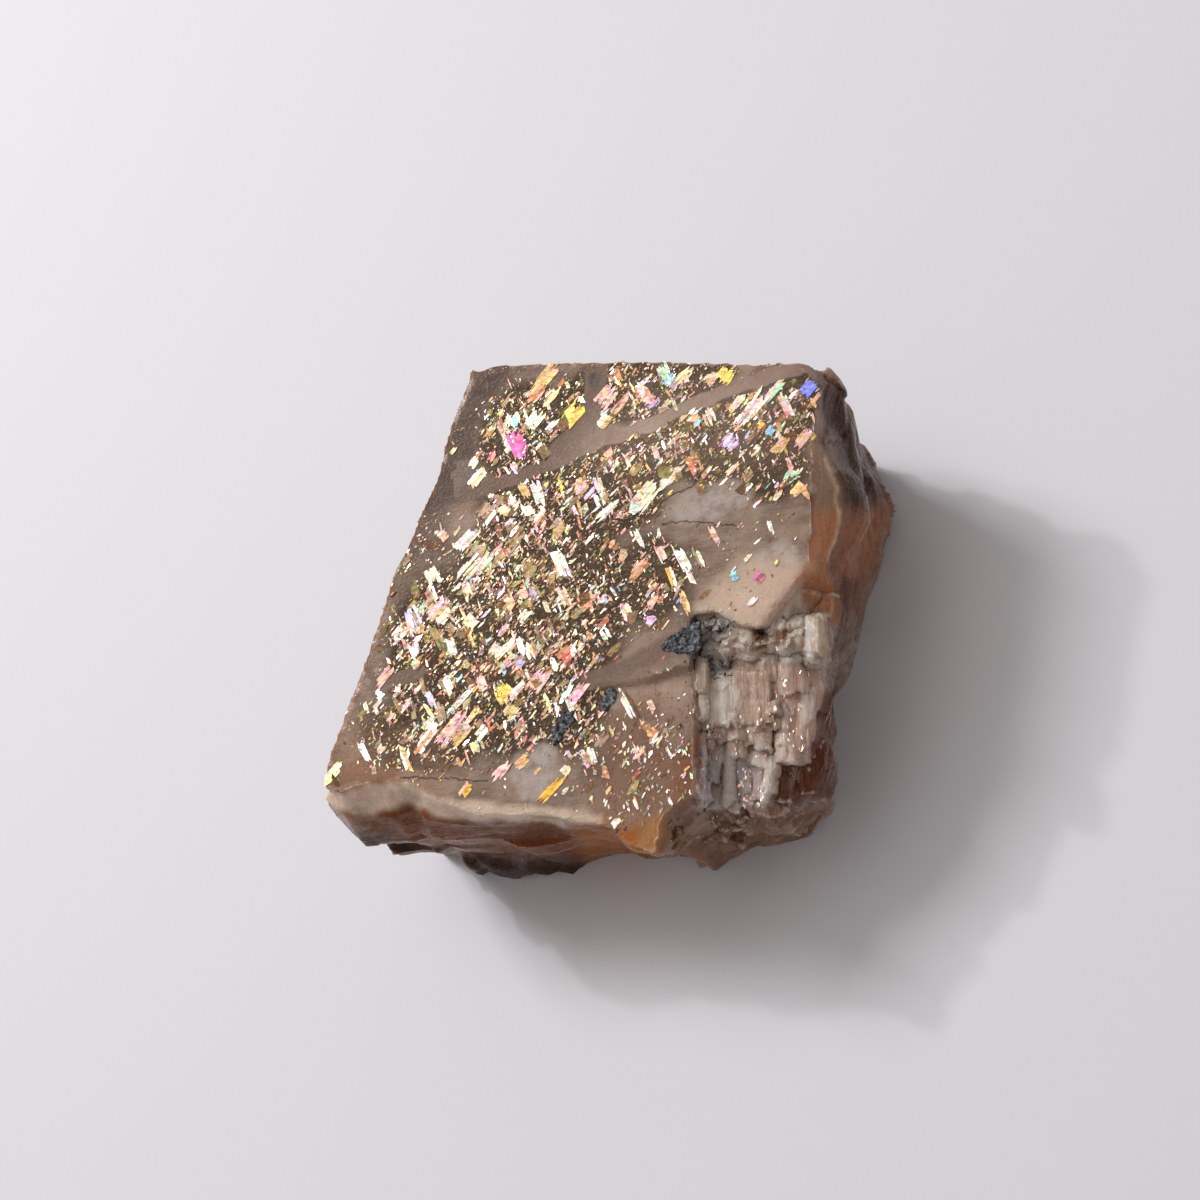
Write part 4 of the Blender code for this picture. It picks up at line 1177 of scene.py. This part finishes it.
    # Relief too fine for the mesh: layers on the sides, splinters and small flats in the corner.
    rough = made.math("SUBTRACT", 1.0, face)
    layered = made.noise((0.5, 0.5, 6.0), 3)
    splintered = made.noise((6.0, 0.5, 3.0), 3)
    flats = plus(made.leaning((1.5, 0.6, 2.2)), times(made.leaning((4.0, 2.0, 5.0)), 0.4))
    flats = plus(flats, times(made.leaning((8.0, 2.4, 6.0)), times(corner, 0.3)))
    height = times(layered, made.math("SUBTRACT", rough, corner))
    height = plus(height, times(splintered, corner))
    height = plus(height, times(flats, share(corner, 0.0, 1.0, 1.1, 2.2)))
    height = plus(times(height, rough), times(made.noise(5.0, 2, 0.65), 0.3))
    normal = made.bump(height, looks.bump, 0.7)
    steps = made.noise((0.5, 2.2, 1.0), 3, turn=-MAIN_TURN)
    normal = made.bump(steps, looks.bump * 0.25, 0.5, normal)

    uneven = share(made.noise(1.2, 3, 0.5), 0.3, 0.7, gloss - 0.08, gloss + 0.14)
    made.shader.subsurface_method = "RANDOM_WALK"
    return made.finish(Base_Color=colour, Roughness=uneven, Normal=normal, IOR=1.53,
                       Subsurface_Weight=looks.glow, Subsurface_Scale=looks.glow_depth,
                       Subsurface_Radius=(1.0, 0.55, 0.35), Specular_IOR_Level=0.25,
                       Specular_Tint=(1.0, 0.84, 0.72), Transmission_Weight=clearness)


def flake_metal(name, rough):
    """Thin bright plates, each its own colour, with a shimmer and cloudy patches across them."""
    made = Shade(name)
    film = made.mix(1.0, made.noise(1.6, 3, 0.5, output="Color"), (2.0, 2.0, 2.0), "MULTIPLY")
    colour = made.mix(0.55, made.mark("tint", "Color"), film, "MULTIPLY")
    dull = made.mix(1.0, colour, (0.50, 0.42, 0.35), "MULTIPLY")
    cloud = made.noise((2.2, 4.5, 2.2), 4, 0.65, -MAIN_TURN)
    colour = made.mix(made.share(cloud, 0.38, 0.56, 0.8, 0.0), colour, dull)
    return made.finish(Base_Color=colour, Metallic=1.0, Roughness=rough)


def magnetite_black():
    """Blue-black grains with a crusty, faintly shining surface."""
    made = Shade("magnetite")
    crust = made.noise(5.5, 4, 0.7)
    colour = made.mix(made.share(crust, 0.40, 0.66), (0.042, 0.044, 0.050), (0.36, 0.37, 0.40))
    height = made.plus(crust, made.times(made.leaning((7.0, 7.0, 7.0)), 2.0))
    return made.finish(Base_Color=colour, Metallic=0.4,
                       Roughness=made.share(crust, 0.3, 0.7, 0.3, 0.55),
                       Normal=made.bump(height, 0.00014))


def studio_paper(colour):
    made = Shade("studio_paper", level=False)
    shade = [part * 0.985 for part in colour]
    return made.finish(Base_Color=made.mix(made.noise(900.0, 3, 0.5), shade, colour),
                       Roughness=0.75)


# ---- Settings --------------------------------------------------------------------------------


def length(name, description, default):
    """A length that Blender shows in the scene's own units."""
    return FloatProperty(name=name, description=description, default=default, unit="LENGTH",
                         precision=5)


def tint(name, description, default):
    return FloatVectorProperty(name=name, description=description, default=default,
                               subtype="COLOR", size=3, min=0.0, max=1.0)


def factor(name, description, default, least=0.0):
    return FloatProperty(name=name, description=description, default=default, min=least, max=1.0,
                         subtype="FACTOR")


def amount(name, description, default, most):
    return FloatProperty(name=name, description=description, default=default, min=0.0, max=most)


def tally(name, description, default, most):
    return IntProperty(name=name, description=description, default=default, min=0, max=most)


class StoneLooks(bpy.types.PropertyGroup):
    """The feldspar's surface and colours."""

    fineness: length("Fineness", "Side of the small faces of the surface", 0.00019)
    facet_relief: length("Facet relief", "Height of the large facets of the sides", 0.00036)
    chip_relief: length("Chip relief", "Height of the small facets", 0.00007)
    ledge_relief: length("Ledge relief", "How far cleavage layers stand out on the sides", 0.00016)
    grain_relief: length("Grain relief", "Height of the finest grains in the mesh", 0.000014)
    crack_width: length("Crack width", "Width of the hairline cracks", 0.00009)
    bump: length("Fine relief", "Height of the relief too fine for the mesh", 0.00012)
    glow: factor("Glow", "Share of light that passes under the surface", 0.55)
    clear: factor("Clearness", "Share of light that passes straight through the surface", 0.18)
    glow_depth: length("Glow depth", "How far light spreads under the surface", 0.0013)
    gloss: factor("Roughness", "Roughness of the cleaved surface", 0.2, 0.1)
    clear_dark: tint("Clear, dark", "Darker clear feldspar on the face", (0.25, 0.155, 0.112))
    clear_pale: tint("Clear, pale", "Paler clear feldspar on the face", (0.47, 0.325, 0.245))
    lane: tint("Flake-free lane", "Bands without flakes", (0.27, 0.172, 0.137))
    ground_dark: tint("Ground, dark", "Darkest ground between flakes", (0.028, 0.013, 0.003))
    ground_mid: tint("Ground, mid", "Lighter ground between flakes", (0.108, 0.060, 0.024))
    milk: tint("Milky patches", "Cloudy white patches in the face", (0.63, 0.53, 0.49))
    side_dark: tint("Sides, dark", "Darkest streaks of the sides", (0.23, 0.125, 0.085))
    side_mid: tint("Sides, mid", "Usual colour of the sides", (0.42, 0.265, 0.20))
    side_pale: tint("Sides, pale", "Pale blotches of the sides", (0.60, 0.46, 0.385))
    rust: tint("Rust", "Rusty streaks of the sides", (0.46, 0.24, 0.12))
    corner_dark: tint("Corner, dark", "Darker fibres of the corner", (0.38, 0.28, 0.235))
    corner_pale: tint("Corner, pale", "Paler fibres of the corner", (0.72, 0.57, 0.49))
    # Crushed pale edges, and on the ridges also the colour of a painted glow and highlight.
    edge: tint("Edges", "Crushed edges and ridges", (0.74, 0.62, 0.54))
    # Painted shade laid into hollows and crevices.
    hollow_shade: tint("Hollows", "Hollows and crevices", (0.055, 0.022, 0.012))


class FlakeLooks(bpy.types.PropertyGroup):
    """The lattice of flakes in the face."""

    specks: tally("Specks", "Number of the finest flakes", 8700, 15000)
    laths: tally("Laths", "Number of the middling flakes", 1600, 8000)
    ghosts: tally("Dull plates", "Number of the dull flakes lying deeper", 280, 4000)
    flake_thickness: length("Thickness", "Thickness of a flake", 0.00003)
    strip_width: length("Strip width", "Width of the strips that make up a large flake", 0.00017)
    flake_tilt: amount("Tilt", "How far flakes lean off the lattice plane, in degrees", 3.2, 20.0)
    seed: tally("Seed", "Changes where the flakes fall", 7, 9999)


class CornerLooks(bpy.types.PropertyGroup):
    """The broken corner and the black grains."""

    roughness: amount("Roughness", "How rough the crust is broken", 1.0, 3.0)
    crust_fineness: length("Crust fineness", "Side of the small faces of the crust", 0.000085)
    black_fineness: length("Black grain fineness", "Side of the black grains' small faces",
                           0.00004)
    gloss: factor("Roughness of the spar", "Roughness of the broken crystals' surface", 0.15, 0.05)
    clear: factor("Clearness", "Share of light that passes straight through the broken crystals",
                  0.28)
    seed: tally("Seed", "Changes where the grains fall", 21, 9999)


class StageLooks(bpy.types.PropertyGroup):
    """The floor, the lights and the camera."""

    distance: length("Camera distance", "From the camera to the middle of the face",
                     SIGHT_DISTANCE * MM)
    lens: FloatProperty(name="Lens", description="Focal length of the camera", default=67.5,
                        min=20.0, max=200.0, unit="CAMERA")
    paper: tint("Paper", "Colour of the floor", (0.80, 0.79, 0.84))
    mirror_light: amount("Mirror light", "Brightness of the panel that the flakes mirror", 1.05,
                         20.0)
    key_light: amount("Key light", "Strength of the large soft lamp", 0.74, 10.0)
    glint_light: amount("Glint light", "Strength of the small lamp that edges glint in", 1.0, 10.0)
    room_light: amount("Room light", "Brightness of the room all round", 0.30, 5.0)


# ---- Makers ----------------------------------------------------------------------------------


class SUNSTONE_OT_body(bpy.types.Operator):
    """Make the stone's broken surface in place of the plain solid"""

    bl_idname = "sunstone.body"
    bl_label = "Feldspar body"

    def execute(self, context):
        looks = context.scene.sunstone_stone
        mesh = shaped(remeshed(level_solid(), looks.fineness / MM), surface_relief, looks)
        spar = feldspar("feldspar", looks, looks.gloss, looks.clear)
        finished_piece("feldspar_body", mesh, spar, "sunstone")
        return {"FINISHED"}


class SUNSTONE_OT_flakes(bpy.types.Operator):
    """Strew the lattice's fine flakes over the face"""

    bl_idname = "sunstone.flakes"
    bl_label = "Scattered flakes"

    def execute(self, context):
        looks = context.scene.sunstone_flakes
        tree = stone_tree()
        rng = random.Random(looks.seed)
        blocks = plate_shapes(rng, (3, 4, 4), 0.10)
        laths = plate_shapes(rng, (4, 4, 5, 6), 0.09)
        heaps = (
            ("dull_flakes", looks.ghosts, ghost_size, GHOST_MIX, laths, 0.5, 0.4),
            ("fine_flakes", looks.specks, speck_size, SPECK_MIX, blocks, 1.0, 0.3),
            ("lath_flakes", looks.laths, lath_size, LATH_MIX, laths, 1.0, 0.27),
        )
        for name, count, sizes, mix, shapes, height, rough in heaps:
            bm = scattered(rng, tree, count, sizes, mix, shapes, looks, height)
            metal = flake_metal(name, rough)
            finished_piece(name, mesh_of(bm, name), metal)
        return {"FINISHED"}


class SUNSTONE_OT_large_flakes(bpy.types.Operator):
    """Set the large bright flakes in their places"""

    bl_idname = "sunstone.large_flakes"
    bl_label = "Large flakes"

    def execute(self, context):
        looks = context.scene.sunstone_flakes
        tree = stone_tree()
        rng = random.Random(looks.seed + 1)
        shapes = plate_shapes(rng, (4, 4, 5, 6), 0.07)
        bm = bmesh.new()
        for turn, table in ((MAIN_TURN, MAIN_FLAKES), (CROSS_TURN, CROSS_FLAKES)):
            for name, rows in table.items():
                for row in rows:
                    lay_strips(bm, rng, tree, shapes, row, turn + rng.gauss(0.0, 2.5), name, looks)
        finished_piece("large_flakes", mesh_of(bm, "large_flakes"),
                       flake_metal("large_flakes", 0.26))
        return {"FINISHED"}


class SUNSTONE_OT_corner(bpy.types.Operator):
    """Build the crust of the broken corner, with the scales that glint in it"""

    bl_idname = "sunstone.corner"
    bl_label = "Broken corner"

    def execute(self, context):
        looks = context.scene.sunstone_corner
        tree = stone_tree()
        rng = random.Random(looks.seed)
        splinters = [splinter(rng) for _ in range(10)]
        grains = [grain(rng) for _ in range(10)]
        bm = corner_block()
        for bundle in BUNDLES:
            lay_bundle(bm, rng, tree, splinters, bundle)
        for start, end, width in FILLERS:
            lie = lie_between(on_level(*start), on_level(*end), UPRIGHT, width, width * 0.8)
            lay(bm, rng.choice(splinters), lie)
        for _, outline in FACETS:
            lay_facet(bm, tree, outline, FACET_PROUD)
        lay_lumps(bm, rng, tree, grains)
        crust = remeshed(mesh_of(bm, "corner_crust"), looks.crust_fineness / MM)
        crust = shaped(crust, crust_relief, looks, fused=True)
        spar = feldspar("broken_feldspar", context.scene.sunstone_stone, looks.gloss, looks.clear)
        finished_piece("corner_crust", crust, spar)

        bm = bmesh.new()
        tree = stone_tree("feldspar_body", "corner_crust")
        lay_scales(bm, rng, tree, plate_shapes(rng, (4, 5, 6), 0.1))
        finished_piece("corner_scales", mesh_of(bm, "corner_scales"),
                       flake_metal("corner_scales", 0.3))
        return {"FINISHED"}


class SUNSTONE_OT_magnetite(bpy.types.Operator):
    """Set the black magnetite grains into the stone"""

    bl_idname = "sunstone.magnetite"
    bl_label = "Magnetite"

    def execute(self, context):
        looks = context.scene.sunstone_corner
        tree = stone_tree("feldspar_body", "corner_crust")
        rng = random.Random(looks.seed + 1)
        shapes = [grain(rng) for _ in range(8)]
        bm = bmesh.new()
        for count, most, proud, outline in MAGNETITE:
            if proud:
                lay_facet(bm, tree, outline, proud)
            for _ in range(count):
                place = met_by_sight(tree, *inside_place(rng, outline))
                size = most * rng.uniform(0.4, 1.0)
                lie = grain_lie(rng, place + UPRIGHT * proud, size, 0.8)
                lay(bm, rng.choice(shapes), lie)
        crust = remeshed(mesh_of(bm, "magnetite_grains"), looks.black_fineness / MM)
        finished_piece("magnetite_grains", crust, magnetite_black())
        return {"FINISHED"}


def panel_light(name, place, target, size, brightness, colour):
    """A square soft lamp that looks this bright from where it shines."""
    lamp = bpy.data.lights.new(name, "AREA")
    lamp.color = colour
    lamp.size = size
    lamp.energy = brightness * math.pi * size * size
    panel = placed(name, lamp)
    panel.location = place
    panel.rotation_euler = (target - place).to_track_quat("-Z", "Y").to_euler()


class SUNSTONE_OT_stage(bpy.types.Operator):
    """Set up the floor, the soft lights and the camera"""

    bl_idname = "sunstone.stage"
    bl_label = "Stage"

    def execute(self, context):
        looks = context.scene.sunstone_stage
        bm = bmesh.new()
        bmesh.ops.create_grid(bm, x_segments=8, y_segments=8, size=FLOOR_REACH)
        floor = placed("studio_floor", mesh_of(bm, "studio_floor"))
        floor.data.materials.append(studio_paper(looks.paper))

        # The lamps: which way from the stone, how far and how broad in metres, and how bright.
        middle = LIE.to_translation()
        right, up, back = SIGHT_AXES
        turn = LIE.to_3x3().normalized()
        mirrored = (-back.x, -back.y, back.z)
        white, warm = (1.0, 1.0, 1.0), (1.0, 0.95, 0.87)
        lamps = (
            ("mirror_panel", mirrored, 0.34, 0.24, looks.mirror_light, warm),
            ("key_panel", (-0.75, 0.55, 0.75), 0.5, 0.16, looks.key_light * 21.0, white),
            ("glint_panel", (-0.75, 0.5, 0.55), 0.5, 0.022, looks.glint_light * 260.0, white),
        )
        for name, way, distance, size, brightness, colour in lamps:
            place = middle + turn @ Vector(way).normalized() * distance
            panel_light(name, place, middle, size, brightness, colour)

        world = bpy.data.worlds.new("room")
        world.use_nodes = True
        air = world.node_tree.nodes["Background"]
        air.inputs["Color"].default_value = (1.0, 0.96, 0.94, 1.0)
        air.inputs["Strength"].default_value = looks.room_light
        context.scene.world = world

        camera = bpy.data.cameras.new("camera")
        camera.lens = looks.lens
        camera.clip_start = 0.005
        seat = placed("camera", camera)
        place, _ = sight_line(0.0, 0.0, looks.distance / MM)
        lie = Matrix((right, up, back)).transposed()
        seat.matrix_world = Matrix.Translation(LIE @ place) @ (turn @ lie).to_4x4()
        context.scene.camera = seat
        context.scene.view_settings.view_transform = "Standard"
        return {"FINISHED"}


class SUNSTONE_PT_makers(bpy.types.Panel):
    """Lists the makers and what can be changed"""

    bl_idname = "SUNSTONE_PT_makers"
    bl_label = "Rainbow lattice sunstone"
    bl_space_type = "VIEW_3D"
    bl_region_type = "UI"
    bl_category = "Sunstone"

    def draw(self, context):
        for maker in MAKERS:
            self.layout.operator(maker.bl_idname)
        for name in LOOKS:
            looks = getattr(context.scene, name)
            column = self.layout.column()
            for setting in looks.__annotations__:
                column.prop(looks, setting)


MAKERS = (SUNSTONE_OT_body, SUNSTONE_OT_flakes, SUNSTONE_OT_large_flakes, SUNSTONE_OT_corner,
          SUNSTONE_OT_magnetite, SUNSTONE_OT_stage)
LOOKS = {"sunstone_stone": StoneLooks, "sunstone_flakes": FlakeLooks,
         "sunstone_corner": CornerLooks, "sunstone_stage": StageLooks}
CLASSES = (*LOOKS.values(), *MAKERS, SUNSTONE_PT_makers)


def register():
    for made in CLASSES:
        bpy.utils.register_class(made)
    for name, made in LOOKS.items():
        setattr(bpy.types.Scene, name, PointerProperty(type=made))


def unregister():
    for name in LOOKS:
        delattr(bpy.types.Scene, name)
    for made in reversed(CLASSES):
        bpy.utils.unregister_class(made)


def main():
    register()
    bpy.ops.sunstone.body()
    bpy.ops.sunstone.flakes()
    bpy.ops.sunstone.large_flakes()
    bpy.ops.sunstone.corner()
    bpy.ops.sunstone.magnetite()
    bpy.ops.sunstone.stage()


if __name__ == "__main__":
    main()
